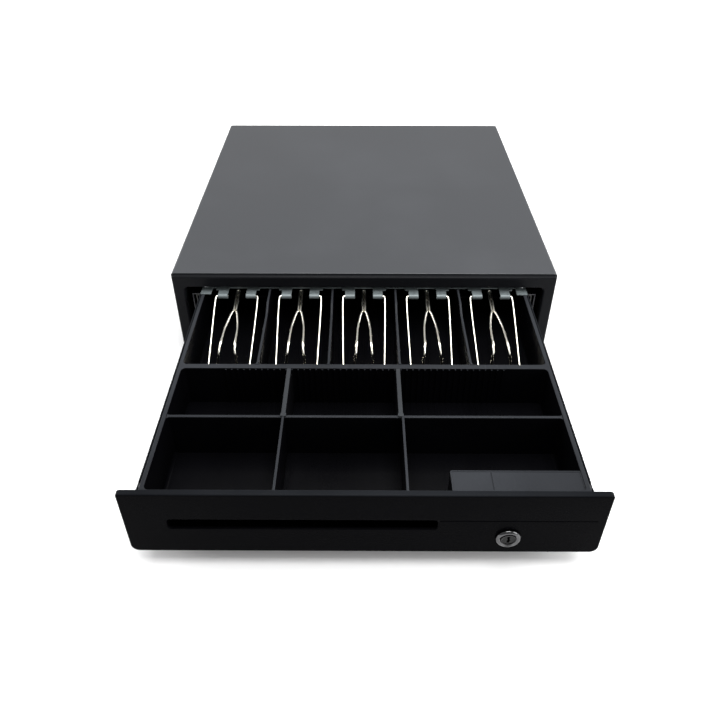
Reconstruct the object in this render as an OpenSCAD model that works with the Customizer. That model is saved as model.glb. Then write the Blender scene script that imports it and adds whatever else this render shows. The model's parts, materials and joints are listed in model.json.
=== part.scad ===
// Cash drawer with its drawer open: steel housing, ball slides, latch, note and coin till.
// X is across, Y runs from the front to the back and Z is up. The housing's front plane is the
// datum for housing pieces, and the drawer's face is the datum for everything in the drawer.

/* [Housing] */
// Outside width
body_w = 410; // [408:1:416]
// Outside depth, from the front frame to the back panel
body_d = 415; // [415:1:425]
// Height above the feet
body_h = 100; // [100:1:104]
// Height of the rubber feet
foot_h = 8; // [7:0.5:9]
// Thickness of the sheet steel
sheet = 1.2; // [1:0.1:1.3]
// Outside bend radius of the top cover
cover_bend_r = 3.5; // [3:0.5:5]
// Distance from the front plane to the front edge of the top cover
cover_setback = 5.4; // [4:0.2:8]

/* [Front frame] */
// Width of the opening
opening_w = 382; // [381:1:384]
// Height of the opening
opening_h = 76; // [75:1:77]
// Height of the opening's lower edge above the table
opening_z = 17; // [16:0.5:17.5]
// Corner radius of the opening
opening_r = 5; // [4:0.5:8]
// Depth of the flanges around the outside
frame_flange = 18; // [12:1:18]
// Depth of the flange around the opening
opening_flange = 9; // [6:1:9]

/* [Drawer] */
// Travel from closed to open
travel = 268; // [255:1:268]
// Outside width of the steel pan
pan_w = 349.4; // [349:0.1:349.8]
// Depth from the face to the back of the pan
pan_d = 330; // [329:1:331]
// Height of the pan's underside above the table
pan_z = 22; // [21:0.5:22]
// Height of the rim above the table
rim_z = 86.8; // [86:0.2:87]
// Width of the front panel
panel_w = 377; // [374:1:378]
// Height of the front panel
panel_h = 71; // [70:1:72]
// Height of the front panel's lower edge above the table
panel_z = 19.5; // [19:0.5:20]
// Depth of the front panel's flange
panel_flange = 5; // [4:0.5:5]
// Lower corner radius of the front panel
panel_r = 7; // [5:0.5:9]

/* [Media slot] */
// Left end
slot_x0 = -154; // [-158:1:-140]
// Right end
slot_x1 = 57; // [40:1:60]
// Height of the slot
slot_h = 11; // [8:1:12]
// Distance from the top of the panel to the top of the slot
slot_drop = 30; // [28:1:34]

/* [Lock] */
// Distance of the lock to the right of the middle
lock_x = 113.7; // [105:0.1:120]
// Distance of the lock below the top of the panel
lock_drop = 50.5; // [49:0.5:51]
// Radius of the bezel
bezel_r = 10; // [9.5:0.5:11]
// Distance that the bezel stands out
bezel_h = 3.3; // [2.5:0.1:4]
// Length of the cam from its centre to its tip
cam_l = 28; // [24:1:28]

/* [Till] */
// Inside width
till_w = 338.8; // [338:0.2:339]
// Thickness of the outside walls and the floor
till_wall = 2.5; // [2:0.1:2.5]
// Inside depth of the wells and cups
till_depth = 43.8; // [40:0.2:45]
// Distance between the middles of two note wells
well_pitch = 66.8; // [66:0.1:67]
// Thickness of the walls between the wells
well_wall = 2.5; // [2:0.1:3]
// Distance from the face to the inside of the till's front wall
cups_front = 8.3; // [8.3:0.1:9]
// Depth of the front row of coin cups
front_row_d = 77.2; // [75:0.2:78]
// Thickness of the wall between the two rows of coin cups
cross_wall = 3.1; // [2.5:0.1:3.5]
// Depth of the back row of coin cups
back_row_d = 58.4; // [57:0.2:60]
// Thickness of the partition between the coin cups and the note wells
partition = 6; // [5:0.5:6]
// Length of the note wells
well_l = 167; // [165:1:167]
// Distance between two divider grooves
groove_pitch = 5.6; // [5.6:0.1:6]

/* [Bill clips] */
// Radius of the wire
wire_r = 1.2; // [1:0.05:1.25]
// Half the width of a clip, to the middle of the wire
clip_half_w = 21.5; // [21.5:0.1:22.5]
// Spacing of the bill clips along the hinge plate
clip_pitch = 67.6; // [66.8:0.1:67.8]
// Height of the clips' pivot above the table
pivot_z = 85.2; // [85:0.1:85.3]
// Distance from the face to the clips' pivot
pivot_d = 263.5; // [263:0.5:264]

/* [Slides] */
// Length of the rails
rail_l = 340; // [338:1:340]
// Height of the housing's rails
rail_h = 45; // [43:1:45]
// Width of one slide
slide_w = 12.7; // [12.7:0.1:13]
// Radius of the bearing balls
ball_r = 2.1; // [2:0.1:2.1]

/* [Hidden] */
$fn = 48;

gap = 0.2;                                   // room between pieces that only stand beside each other
half_w = body_w / 2;
top_z = foot_h + body_h;
inner_w = half_w - sheet;                    // half the width inside the cover
inner_z = top_z - sheet;
frame_r = 3;                                 // bend radius of the front frame's outer edge
opening_top = opening_z + opening_h;
rear_head = 1.6;                             // height of the screw heads behind the back panel
front_y = -(body_d + rear_head - travel - bezel_h) / 2;  // puts the origin under the middle of the whole

pan_half = pan_w / 2;
panel_top = panel_z + panel_h;
lock_z = panel_top - lock_drop;
cam_d = 20.2;                                // distance from the face to the lock's cam
pan_front = 4.4;                             // distance from the face to the pan's front wall
ear_d = pan_d + 22;                          // the pan's sides run on past its back wall
till_half = till_w / 2;
till_front = cups_front - till_wall;
till_floor = rim_z - till_depth;
cross_d = cups_front + front_row_d;
back_row = cross_d + cross_wall;
partition_d = back_row + back_row_d;
wells_d = partition_d + partition;
till_back = wells_d + well_l;
block_x = 67;                                // left side of the raised block over the lock
block_d = 20.3;
block_top = rim_z - 0.8;
front_walls = [-69.6, 33];                   // places of the moulded walls in the front row
divider_x = [-69.6, 31.2];                   // places of the loose dividers in the back row
divider_t = 4;
cross_top = rim_z - 1.2;
front_floor = till_floor - 2.5;
well_wall_top = rim_z - 2.3;                  // the walls between the wells stand a little lower
fin_d = [pivot_d - 32.5, pivot_d - 16.5, pivot_d + 8];  // a raised stretch of them meets the hinge plate
fin_top = rim_z + 3.4;
chute_x = [slot_x0 - 6, slot_x1 + 6];        // the till's front wall slants back under the media slot
chute_top = panel_top - slot_drop + 3;
chute_back = till_front + 18;
front_under = front_floor - till_wall;
well_x = [for (i = [-2:2]) i * well_pitch];
clip_x = [for (i = [-2:2]) i * clip_pitch];

rail_y = 12;                                 // front end of the housing's rails
rail_z = pan_z + 10;
cage_l = 68;
ball_z = 2.4;                                // distance from a rail's edge to the middle of the balls
plate_t = sheet;
web_d = pivot_d + 12;                        // front edge of the hinge plate's web
web_back = pivot_d + 28.5;
plate_top = rim_z + plate_t;
curl_r = plate_top - pivot_z;

latch_y = 385;                               // the latch lever's pivot
latch_z = 60;
hook_y = 342;
striker_z = 46;
plunger_y = latch_y + 14;
solenoid_top = 44;
spring_y = hook_y + 16;
bridge_z = latch_z + 18;
kick_x = -60;
kick_z = 52;
switch_x = 52;
switch_y = 338;

// ---------- helpers ----------

module placed() translate([0, front_y, 0]) children();
module in_drawer() translate([0, front_y - travel, 0]) children();
module both_sides() { children(); mirror([1, 0, 0]) children(); }

module block(x, y, z) translate([x[0], y[0], z[0]]) cube([x[1] - x[0], y[1] - y[0], z[1] - z[0]]);
module rod_x(x, y, z, r) translate([x[0], y, z]) rotate([0, 90, 0]) cylinder(h = x[1] - x[0], r = r);
module rod_y(x, y, z, r) translate([x, y[0], z]) rotate([-90, 0, 0]) cylinder(h = y[1] - y[0], r = r);
module rod_z(x, y, z, r) translate([x, y, z[0]]) cylinder(h = z[1] - z[0], r = r);
module along_y(y) translate([0, y[1], 0]) rotate([90, 0, 0]) linear_extrude(y[1] - y[0]) children();

// A rectangle with its lower and upper corners rounded, in X and Z
module rounded(x, z, low_r, high_r) {
    block_2d(x, [z[0] + low_r, z[1] - high_r]);
    block_2d([x[0] + low_r, x[1] - low_r], [z[0], z[0] + low_r]);
    block_2d([x[0] + high_r, x[1] - high_r], [z[1] - high_r, z[1]]);
    for (side = [[x[0], 1], [x[1], -1]]) {
        translate([side[0] + side[1] * low_r, z[0] + low_r]) circle(low_r);
        translate([side[0] + side[1] * high_r, z[1] - high_r]) circle(high_r);
    }
}

module block_2d(x, z) translate([x[0], z[0]]) square([x[1] - x[0], z[1] - z[0]]);

function unit(v) = v / norm(v);

// A point on the smooth curve through a list of points, t of the way from point i to the next one
function through(p, i, t) = let (
    a = p[max(i - 1, 0)], b = p[i], c = p[i + 1], d = p[min(i + 2, len(p) - 1)])
    b + 0.5 * t * (c - a + t * (2 * a - 5 * b + 4 * c - d + t * (3 * (b - c) + d - a)));

function smooth(p, steps) = concat(
    [for (i = [0:len(p) - 2], k = [0:steps - 1]) through(p, i, k / steps)], [p[len(p) - 1]]);

// A bent round wire along a path, as one closed tube of eight sides
module tube(path, r) {
    sides = 8;
    n = len(path);
    along = [for (i = [0:n - 1]) unit(path[min(i + 1, n - 1)] - path[max(i - 1, 0)])];
    first = unit(cross(along[0], [0, 0, 1]));
    out = [for (i = 0, v = first; i < n;
        i = i + 1, v = unit(v - along[min(i, n - 1)] * (v * along[min(i, n - 1)]))) v];
    points = [for (i = [0:n - 1], k = [0:sides - 1])
        let (turn = 360 * k / sides, up = cross(along[i], out[i]))
        path[i] + r * (cos(turn) * out[i] + sin(turn) * up)];
    walls = [for (i = [0:n - 2], k = [0:sides - 1]) let (here = i * sides, next = here + sides)
        [here + k, next + k, next + (k + 1) % sides, here + (k + 1) % sides]];
    ends = [[for (k = [0:sides - 1]) k], [for (k = [sides - 1:-1:0]) (n - 1) * sides + k]];
    polyhedron(points, concat(walls, ends), convexity = 6);
}

// A coil spring along Z, as one closed tube of six sides
module coil(length, turns, radius, wire) {
    sides = 6;
    rings = turns * 14;
    points = [for (i = [0:rings], k = [0:sides - 1])
        let (turn = 360 * turns * i / rings, lean = 360 * k / sides, out = radius + wire * cos(lean))
        [out * cos(turn), out * sin(turn), wire + (length - 2 * wire) * i / rings + wire * sin(lean)]];
    walls = [for (i = [0:rings - 1], k = [0:sides - 1]) let (here = i * sides, next = here + sides)
        [here + k, here + (k + 1) % sides, next + (k + 1) % sides, next + k]];
    ends = [[for (k = [sides - 1:-1:0]) k], [for (k = [0:sides - 1]) rings * sides + k]];
    polyhedron(points, concat(walls, ends), convexity = 6);
}

module pan_head(r, h, length, shank_r) {
    cylinder(h = h, r = r);
    translate([0, 0, -length]) cylinder(h = length, r = shank_r);
}

// ---------- housing ----------

module cover_outline(inset, low) {
    half = half_w - inset;
    r = cover_bend_r - inset;
    high = top_z - inset;
    block_2d([-half, half], [low, high - r]);
    block_2d([-half + r, half - r], [low, high]);
    for (s = [-1, 1]) translate([s * (half - r), high - r]) circle(r);
}

module top_cover() color([0.24, 0.24, 0.25]) placed() difference() {
    along_y([cover_setback, body_d]) cover_outline(0, foot_h);
    along_y([cover_setback - 1, body_d + 1]) cover_outline(sheet, foot_h - 1);
}

foot_places = [for (x = [-180, 180], y = [28, body_d - 30]) [x, y]];
base_bolts = [for (x = [-150, 150], y = [60, 360]) [x, y]];
latch_bolts = [for (x = [-24, 24], y = [latch_y - 16, latch_y + 16]) [x, y]];

module base_pan() color([0.12, 0.12, 0.125]) placed() difference() {
    union() {
        block([-inner_w + gap, inner_w - gap], [2, body_d - 1.4], [foot_h, foot_h + sheet]);
        both_sides()
            block([inner_w - gap - sheet, inner_w - gap], [24, body_d - 20], [foot_h, foot_h + 16]);
    }
    for (p = foot_places) rod_z(p[0], p[1], [foot_h - 1, foot_h + 3], 2.1);
    for (p = latch_bolts) rod_z(p[0], p[1], [foot_h - 1, foot_h + 3], 1.6);
    for (p = base_bolts) rod_z(p[0], p[1], [foot_h - 1, foot_h + 3], 2.75);
}

module front_frame() color([0.05, 0.05, 0.055]) placed() {
    half = inner_w - gap;
    low = foot_h + sheet + gap;
    high = inner_z - gap;
    difference() {
        along_y([0, frame_flange]) rounded([-half, half], [low, high], frame_r, frame_r);
        along_y([sheet, frame_flange + 1])
            rounded([-half + sheet, half - sheet], [low + sheet, high - sheet], frame_r - 1, frame_r - 1);
        along_y([-1, sheet + 1]) opening_outline(0);
    }
    difference() {
        along_y([0, opening_flange]) opening_outline(sheet);
        along_y([-1, opening_flange + 1]) opening_outline(0);
    }
}

module opening_outline(grow) {
    half = opening_w / 2 + grow;
    rounded([-half, half], [opening_z - grow, opening_top + grow], opening_r + grow, opening_r + grow);
}

socket_x = 120;
socket_z = [40, 56];

module rear_panel() color([0.12, 0.12, 0.125]) placed() difference() {
    union() {
        block([-inner_w + gap, inner_w - gap], [body_d - sheet, body_d],
            [foot_h + sheet + gap, inner_z - gap]);
        both_sides() block([inner_w - gap - sheet, inner_w - gap], [body_d - 18, body_d], [30, 95]);
    }
    block([socket_x - 8, socket_x + 8], [body_d - 5, body_d + 1], socket_z);
    for (p = rear_bolts) rod_y(p[0], [body_d - 5, body_d + 1], p[1], 1.7);
}

rear_bolts = [for (x = [-190, 190], z = [22, 94]) [x, z]];

module cover_screws() color([0.55, 0.55, 0.56]) placed()
    for (p = rear_bolts) translate([p[0], body_d, p[1]]) rotate([-90, 0, 0])
        pan_head(3.2, rear_head, 8, 1.6);

// Everything on the slides is drawn on the right, from the pan's side outwards, and mirrored
module outer_rail() {
    x1 = pan_half + slide_w;
    y = [rail_y, rail_y + rail_l];
    difference() {
        block([x1 - sheet, x1], y, [rail_z, rail_z + rail_h]);
        for (d = rail_holes) rod_x([x1 - 3, x1 + 1], rail_y + d, rail_z + rail_h / 2, 1.7);
    }
    block([pan_half + 3, x1], y, [rail_z, rail_z + sheet]);
    block([pan_half + 3, x1], y, [rail_z + rail_h - sheet, rail_z + rail_h]);
}

rail_holes = [20, 170, 320];
inner_rail_z = [rail_z + sheet + 4.8, rail_z + rail_h - sheet - 4.8];

module rail_bracket() {
    x = [pan_half + slide_w, inner_w];
    z = [rail_z - 6, rail_z + rail_h + 6];
    y = [frame_flange + 2, rail_y + rail_l + 8];
    difference() {
        block([x[0], x[0] + sheet], y, z);
        for (d = rail_holes) rod_x([x[0] - 1, x[0] + 3], rail_y + d, rail_z + rail_h / 2, 1.7);
    }
    for (s = [0, 1]) {
        inside = s == 0 ? [z[0], z[0] + sheet] : [z[1] - sheet, z[1]];
        lip = s == 0 ? [z[0] - 1.8, z[0] + sheet] : [z[1] - sheet, z[1] + 10];
        block([x[0], x[1]], y, inside);
        block([x[1] - sheet, x[1]], y, lip);
    }
}

module inner_rail() {
    z = inner_rail_z;
    y = [rail_y, rail_y + rail_l];
    difference() {
        block([pan_half, pan_half + sheet], y, z);
        for (d = rail_holes) rod_x([pan_half - 1, pan_half + 3], rail_y + d, rail_z + rail_h / 2, 1.7);
    }
    for (edge = [[z[0], z[0] + sheet], [z[1] - sheet, z[1]]]) block([pan_half, pan_half + 6.4], y, edge);
}

cage_y = [rail_y + 2, rail_y + 2 + cage_l];
ball_heights = [rail_z + sheet + ball_z, rail_z + rail_h - sheet - ball_z];
ball_places = [for (i = [0:6]) cage_y[0] + 7 + 9 * i];

module ball_cage() {
    wall = [pan_half + 8.4, pan_half + 9.2];
    block(wall, cage_y, [ball_heights[0] - 0.4, ball_heights[1] + 0.4]);
    for (z = ball_heights) difference() {
        block([pan_half + 2, wall[1]], cage_y, [z - 0.4, z + 0.4]);
        for (y = ball_places) rod_z(pan_half + 5, y, [z - 1, z + 1], ball_r + 0.1);
    }
}

module balls() for (y = ball_places, z = ball_heights) translate([pan_half + 5, y, z]) sphere(ball_r);

rail_steel = [0.2, 0.2, 0.21];

module right_outer_rail() color(rail_steel) placed() outer_rail();
module left_outer_rail() color(rail_steel) placed() mirror([1, 0, 0]) outer_rail();
module right_rail_bracket() color([0.07, 0.07, 0.075]) placed() rail_bracket();
module left_rail_bracket() color([0.07, 0.07, 0.075]) placed() mirror([1, 0, 0]) rail_bracket();
module right_inner_rail() color(rail_steel) in_drawer() inner_rail();
module left_inner_rail() color(rail_steel) in_drawer() mirror([1, 0, 0]) inner_rail();
module right_ball_cage() color([0.7, 0.7, 0.72]) placed() ball_cage();
module left_ball_cage() color([0.7, 0.7, 0.72]) placed() mirror([1, 0, 0]) ball_cage();
module right_balls() color([0.85, 0.85, 0.87]) placed() balls();
module left_balls() color([0.85, 0.85, 0.87]) placed() mirror([1, 0, 0]) balls();

module housing_rail_screws() color([0.72, 0.72, 0.74]) placed() both_sides() for (d = rail_holes)
    translate([pan_half + slide_w - sheet, rail_y + d, rail_z + rail_h / 2]) rotate([0, -90, 0])
        pan_head(3.4, 1.2, 6, 1.6);

module drawer_rail_screws() color([0.72, 0.72, 0.74]) in_drawer() both_sides() for (d = rail_holes)
    translate([pan_half + sheet, rail_y + d, rail_z + rail_h / 2]) rotate([0, 90, 0])
        pan_head(3.4, 1.2, 2.3, 1.6);

module rubber_feet() color([0.06, 0.06, 0.06]) placed() for (p = foot_places) difference() {
    rod_z(p[0], p[1], [0, foot_h], 10);
    rod_z(p[0], p[1], [-1, 4], 4.6);
    rod_z(p[0], p[1], [3, foot_h + 1], 2.1);
}

module foot_screws() color([0.7, 0.7, 0.72]) placed() for (p = foot_places) {
    rod_z(p[0], p[1], [2, 4], 4);
    rod_z(p[0], p[1], [4, foot_h + 6], 1.9);
}

// A stop that the lock's cam turns down behind
module lock_catch() color([0.6, 0.61, 0.6]) placed() {
    floor_z = foot_h + sheet;
    x = [lock_x - 16, lock_x + 16];
    y = frame_flange + gap;
    block(x, [y, y + sheet], [floor_z, floor_z + 10.5]);
    block(x, [y, y + 14], [floor_z, floor_z + sheet]);
}

// ---------- latch, kick spring and switch at the back of the housing ----------

// Two cheeks for the lever's pivot, and a bridge over them that the return spring bears on
module latch_bracket() color([0.66, 0.67, 0.66]) placed() {
    floor_z = foot_h + sheet;
    difference() {
        block([-30, 30], [latch_y - 24, latch_y + 27], [floor_z, floor_z + 1.5]);
        for (p = latch_bolts) rod_z(p[0], p[1], [floor_z - 1, floor_z + 3], 1.6);
    }
    both_sides() difference() {
        block([17, 18.5], [latch_y - 9, latch_y + 9], [floor_z, bridge_z]);
        rod_x([16, 20], latch_y, latch_z, 2.05);
    }
    block([-18.5, 18.5], [spring_y - 6, latch_y + 9], [bridge_z, bridge_z + 1.5]);
}

module latch_screws() color([0.7, 0.7, 0.72]) placed() for (p = latch_bolts)
    translate([p[0], p[1], foot_h + sheet + 1.5]) pan_head(3, 1.6, 3.5, 1.5);

module latch_pivot_pin() color([0.78, 0.78, 0.8]) placed() {
    rod_x([-18.5, 18.5], latch_y, latch_z, 2);
    both_sides() rod_x([18.5, 20], latch_y, latch_z, 3.2);
}

module latch_lever() color([0.7, 0.7, 0.68]) placed() difference() {
    union() {
        block([-2, 2], [hook_y, latch_y + 6], [latch_z - 5, latch_z + 3]);
        block([-6, 6], [hook_y - 2, hook_y + 2.5], [striker_z - 4, latch_z + 3]);
        rod_x([-8, 8], latch_y, latch_z, 6);
        both_sides() block([5, 7], [latch_y, plunger_y + 3], [latch_z - 4, latch_z + 4]);
    }
    rod_x([-10, 10], latch_y, latch_z, 2.05);
    rod_x([-10, 10], plunger_y, latch_z, 1.8);
}

module solenoid_plunger() color([0.72, 0.72, 0.74]) placed() {
    rod_z(0, plunger_y, [solenoid_top - 22, latch_z - 6], 4.5);
    block([-3, 3], [plunger_y - 3, plunger_y + 3], [latch_z - 6, latch_z + 3]);
    rod_x([-8.5, 8.5], plunger_y, latch_z, 1.3);
}

module solenoid_frame() color([0.64, 0.65, 0.66]) placed() {
    y = [plunger_y - 13, plunger_y + 13];
    floor_z = foot_h + sheet + 1.5;
    difference() {
        union() {
            block([-15, 15], y, [floor_z, floor_z + 2]);
            block([-15, 15], y, [solenoid_top - 2, solenoid_top]);
            both_sides() block([13, 15], y, [floor_z, solenoid_top]);
        }
        rod_z(0, plunger_y, [solenoid_top - 3, solenoid_top + 1], 5);
    }
}

module solenoid_coil() color([0.5, 0.2, 0.1]) placed() difference() {
    rod_z(0, plunger_y, [foot_h + sheet + 3.5, solenoid_top - 2], 11.5);
    rod_z(0, plunger_y, [solenoid_top - 26, solenoid_top + 1], 4.9);
}

module latch_return_spring() color([0.8, 0.8, 0.82]) placed()
    translate([0, spring_y, latch_z + 3]) coil(bridge_z - latch_z - 3, 6, 3.5, 0.5);

module kick_spring() color([0.8, 0.8, 0.82]) placed()
    translate([kick_x, body_d - 15, kick_z]) rotate([90, 0, 0]) coil(100, 14, 7, 0.8);

module kick_spring_guide() color([0.6, 0.6, 0.62]) placed() {
    rod_y(kick_x, [body_d - 75, body_d - 15], kick_z, 4.5);
    rod_y(kick_x, [body_d - 15, body_d - sheet], kick_z, 11);
}

module drawer_switch() color([0.15, 0.12, 0.12]) placed() difference() {
    block([switch_x, switch_x + 10], [switch_y, switch_y + 21], [foot_h + sheet, foot_h + sheet + 30]);
    for (z = [18, 34]) rod_x([switch_x - 1, switch_x + 11], switch_y + 15, z, 1.3);
}

// A springy leaf that the back of the closed drawer presses
module switch_leaf() color([0.82, 0.82, 0.84]) placed() {
    block([switch_x + 3, switch_x + 7], [switch_y - 0.5, switch_y], [14, 26]);
    translate([0, switch_y - 0.5, 26]) rotate([30, 0, 0])
        block([switch_x + 3, switch_x + 7], [0, 0.5], [-0.2, 20]);
}

module cable_socket() color([0.1, 0.1, 0.1]) placed() difference() {
    block([socket_x - 8, socket_x + 8], [body_d - 17, body_d], socket_z);
    block([socket_x - 6, socket_x + 6], [body_d - 13, body_d + 1], [socket_z[0] + 3, socket_z[1] - 3]);
}

// ---------- drawer ----------

module drawer_pan() color([0.07, 0.07, 0.075]) in_drawer() difference() {
    union() {
        block([-pan_half, pan_half], [pan_front, pan_d], [pan_z, pan_z + sheet]);
        block([-pan_half, pan_half], [pan_front, pan_front + sheet], [pan_z, rim_z - 2]);
        block([-pan_half, pan_half], [pan_d - sheet, pan_d], [pan_z, rim_z]);
        both_sides() block([pan_half - sheet, pan_half], [pan_front, ear_d], [pan_z, rim_z]);
    }
    // notches in the rim behind the front panel
    both_sides() block([pan_half - 3, pan_half + 1], [10.5, 16], [rim_z - 6, rim_z + 1]);
    // media slot, lock and its cam
    block([slot_x0 - 2, slot_x1 + 2], [pan_front - 1, pan_front + 3],
        [pan_z + 6, panel_top - slot_drop + 1]);
    rod_y(lock_x, [pan_front - 1, pan_front + 3], lock_z, 9.2);
    block([lock_x - 26, lock_x + 8], [cam_d - 0.8, cam_d + 5], [pan_z - 1, pan_z + 3]);
    for (s = [-1, 1], d = rail_holes)
        rod_x([s * pan_half - 3, s * pan_half + 3], rail_y + d, rail_z + rail_h / 2, 1.7);
}

module front_panel() color([0.03, 0.03, 0.035]) in_drawer() difference() {
    x = [-panel_w / 2, panel_w / 2];
    z = [panel_z, panel_top];
    along_y([0, panel_flange]) rounded(x, z, panel_r, 3);
    along_y([sheet, panel_flange + 1])
        rounded([x[0] + sheet, x[1] - sheet], [z[0] + sheet, z[1] - sheet], panel_r - sheet, 3 - sheet);
    along_y([-1, 3]) rounded([slot_x0, slot_x1], [z[1] - slot_drop - slot_h, z[1] - slot_drop], 2.5, 2.5);
    block([slot_x1 + 1, x[1] - 7], [-1, 0.5], [z[1] - slot_drop - 0.8, z[1] - slot_drop]);
    rod_y(lock_x, [-1, 3], lock_z, 8.9);
}

module panel_brackets() color([0.07, 0.07, 0.075]) in_drawer() both_sides() {
    x1 = pan_half + gap + sheet;
    z = [pan_z + 8, rim_z - 3];
    block([x1 - 18, x1], [sheet + gap, 2 * sheet + gap], z);
    block([x1 - sheet, x1], [sheet + gap, 10.5], z);
}

module striker() color([0.7, 0.7, 0.72]) in_drawer() {
    block([-18, 18], [pan_d, pan_d + 1.5], [striker_z - 12, striker_z + 20]);
    difference() {
        block([-12, 12], [pan_d, pan_d + 22], [striker_z, striker_z + 2]);
        block([-8, 8], [hook_y - 4.5, hook_y + 5], [striker_z - 1, striker_z + 3]);
    }
}

// ---------- lock ----------

module lock_body() color([0.72, 0.73, 0.75]) in_drawer() difference() {
    union() {
        rod_y(lock_x, [-bezel_h + 1, 0], lock_z, bezel_r);
        translate([lock_x, -bezel_h + 1, lock_z]) rotate([90, 0, 0])
            cylinder(h = 1, r1 = bezel_r, r2 = bezel_r - 1);
        rod_y(lock_x, [-0.5, 20], lock_z, 8.8);
    }
    rod_y(lock_x, [-bezel_h - 1, 21], lock_z, 6.25);
}

module lock_nut() color([0.7, 0.7, 0.72]) in_drawer() difference() {
    translate([lock_x, pan_front + sheet, lock_z]) rotate([-90, 0, 0]) cylinder(h = 4, r = 13, $fn = 6);
    rod_y(lock_x, [0, 30], lock_z, 8.8);
}

module lock_plug() color([0.6, 0.61, 0.63]) in_drawer() difference() {
    union() {
        rod_y(lock_x, [-bezel_h + 0.3, cam_d], lock_z, 6.2);
        block([lock_x - 3, lock_x + 3], [cam_d - 1, cam_d + 1.8], [lock_z - 3, lock_z + 3]);
    }
    block([lock_x - 0.9, lock_x + 0.9], [-bezel_h - 1, 14], [lock_z - 3.5, lock_z + 3.5]);
    rod_y(lock_x, [16, 23], lock_z, 1.6);
}

module lock_cam() color([0.7, 0.7, 0.72]) in_drawer() difference() {
    union() {
        rod_y(lock_x, [cam_d, cam_d + 1.8], lock_z, 7.5);
        block([lock_x - cam_l, lock_x], [cam_d, cam_d + 1.8], [lock_z - 6, lock_z + 6]);
    }
    block([lock_x - 3, lock_x + 3], [19, 23], [lock_z - 3, lock_z + 3]);
}

module lock_cam_screw() color([0.75, 0.75, 0.77]) in_drawer() {
    rod_y(lock_x, [cam_d + 1.8, cam_d + 3.8], lock_z, 4.4);
    rod_y(lock_x, [16.5, cam_d + 1.8], lock_z, 1.5);
}

// ---------- till ----------

// A prism along X from a shape drawn in Y and Z
module across_x(x) translate([x[0], 0, 0]) rotate([90, 0, 90]) linear_extrude(x[1] - x[0]) children();

// The slanted wall below which a cheque slides from the media slot to the space under the till
module chute(x, top, back, front) across_x(x) polygon([[front, top], [till_front, top],
    [back, front_under], [back, front_under - 1], [front, front_under - 1]]);

module till() color([0.06, 0.06, 0.065]) in_drawer() difference() {
    union() {
        till_tray();
        intersection() {
            chute(chute_x, chute_top + 4, chute_back + 3, till_front);
            block(chute_x, [till_front, chute_back + 3], [front_under, rim_z]);
        }
    }
    chute([chute_x[0] + till_wall, chute_x[1] - till_wall], chute_top, chute_back, till_front - 1);
}

module till_tray() {
    out = till_half + till_wall;
    back_out = till_back + till_wall;
    under = till_floor - till_wall;
    open_top = rim_z + 1;
    difference() {
        union() {
            block([-out, out], [till_front, back_out], [under, rim_z]);
            block([-out - 1.3, out + 1.3], [till_front, back_out + 1.3], [rim_z - 2.5, rim_z]);
            block([-out, out], [till_front, back_row], [front_under, under + 1]);
            both_sides() block([till_half, out], [till_front, back_out], [pan_z + sheet, under + 1]);
            block([-out, out], [till_back, back_out], [pan_z + sheet, under + 1]);
        }
        // note wells
        for (x = well_x) {
            left = x == well_x[0] ? -till_half : x - well_pitch / 2 + well_wall / 2;
            right = x == well_x[4] ? till_half : x + well_pitch / 2 - well_wall / 2;
            block([left, right], [wells_d, till_back], [till_floor, open_top]);
        }
        // the two rows of coin cups
        block([-till_half, till_half], [back_row, partition_d], [till_floor, open_top]);
        for (i = [0:2]) {
            left = i == 0 ? -till_half : front_walls[i - 1] + 1.1;
            right = i == 2 ? till_half : front_walls[i] - 1.1;
            near = i == 2 ? cups_front + block_d : cups_front;
            block([left, right], [near, cross_d], [front_floor, open_top]);
            if (i == 2) block([left, block_x], [cups_front, near + 1], [front_floor, open_top]);
        }
        block([-till_half, till_half], [cross_d - 1, back_row + 1], [cross_top, open_top]);
        block([-till_half, till_half], [wells_d, fin_d[2]], [well_wall_top, open_top]);
        // the hollow block that leaves room for the lock
        block([block_x - 1, till_half + 0.1], [cups_front, cups_front + block_d + 0.1],
            [block_top, open_top]);
        block([block_x + till_wall, till_half], [cups_front, cups_front + block_d - till_wall],
            [front_under - 1, block_top - till_wall]);
        block([lock_x - 16, lock_x + 16], [till_front - 1, cups_front + 1], [front_under - 1, lock_z + 16]);
        both_sides() rod_z(plate_screw[0], plate_screw[1], [rim_z - 4, rim_z + 1], 1.6);
    }
    for (i = [0:3]) {
        middle = well_x[i] + well_pitch / 2;
        across_x([middle - well_wall / 2, middle + well_wall / 2]) polygon([[fin_d[0], well_wall_top],
            [fin_d[2], well_wall_top], [fin_d[2], fin_top], [fin_d[1], fin_top]]);
    }
    // ribs between the grooves that hold the loose dividers
    for (k = [-11:35]) translate([divider_x[0] + (k + 0.5) * groove_pitch, partition_d - 1.2, till_floor])
        translate([-0.6, 0, 0]) cube([1.2, 1.2, till_depth - 1]);
}

// A loose divider: its front end rests on the cross wall, its back end stands in a groove
module coin_divider(x) {
    side = [x - divider_t / 2, x + divider_t / 2];
    block(side, [back_row + gap, partition_d - gap], [till_floor + gap, cross_top + gap]);
    block(side, [cross_d + gap, partition_d - gap], [cross_top + gap, cross_top + 1.6]);
}

divider_black = [0.08, 0.08, 0.085];

module coin_divider_1() color(divider_black) in_drawer() coin_divider(divider_x[0]);
module coin_divider_2() color(divider_black) in_drawer() coin_divider(divider_x[1]);

// ---------- hinge plate and bill clips ----------

foot_x = [162.7, 174];
plate_screw = [170, pivot_d + 15.5];

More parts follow.
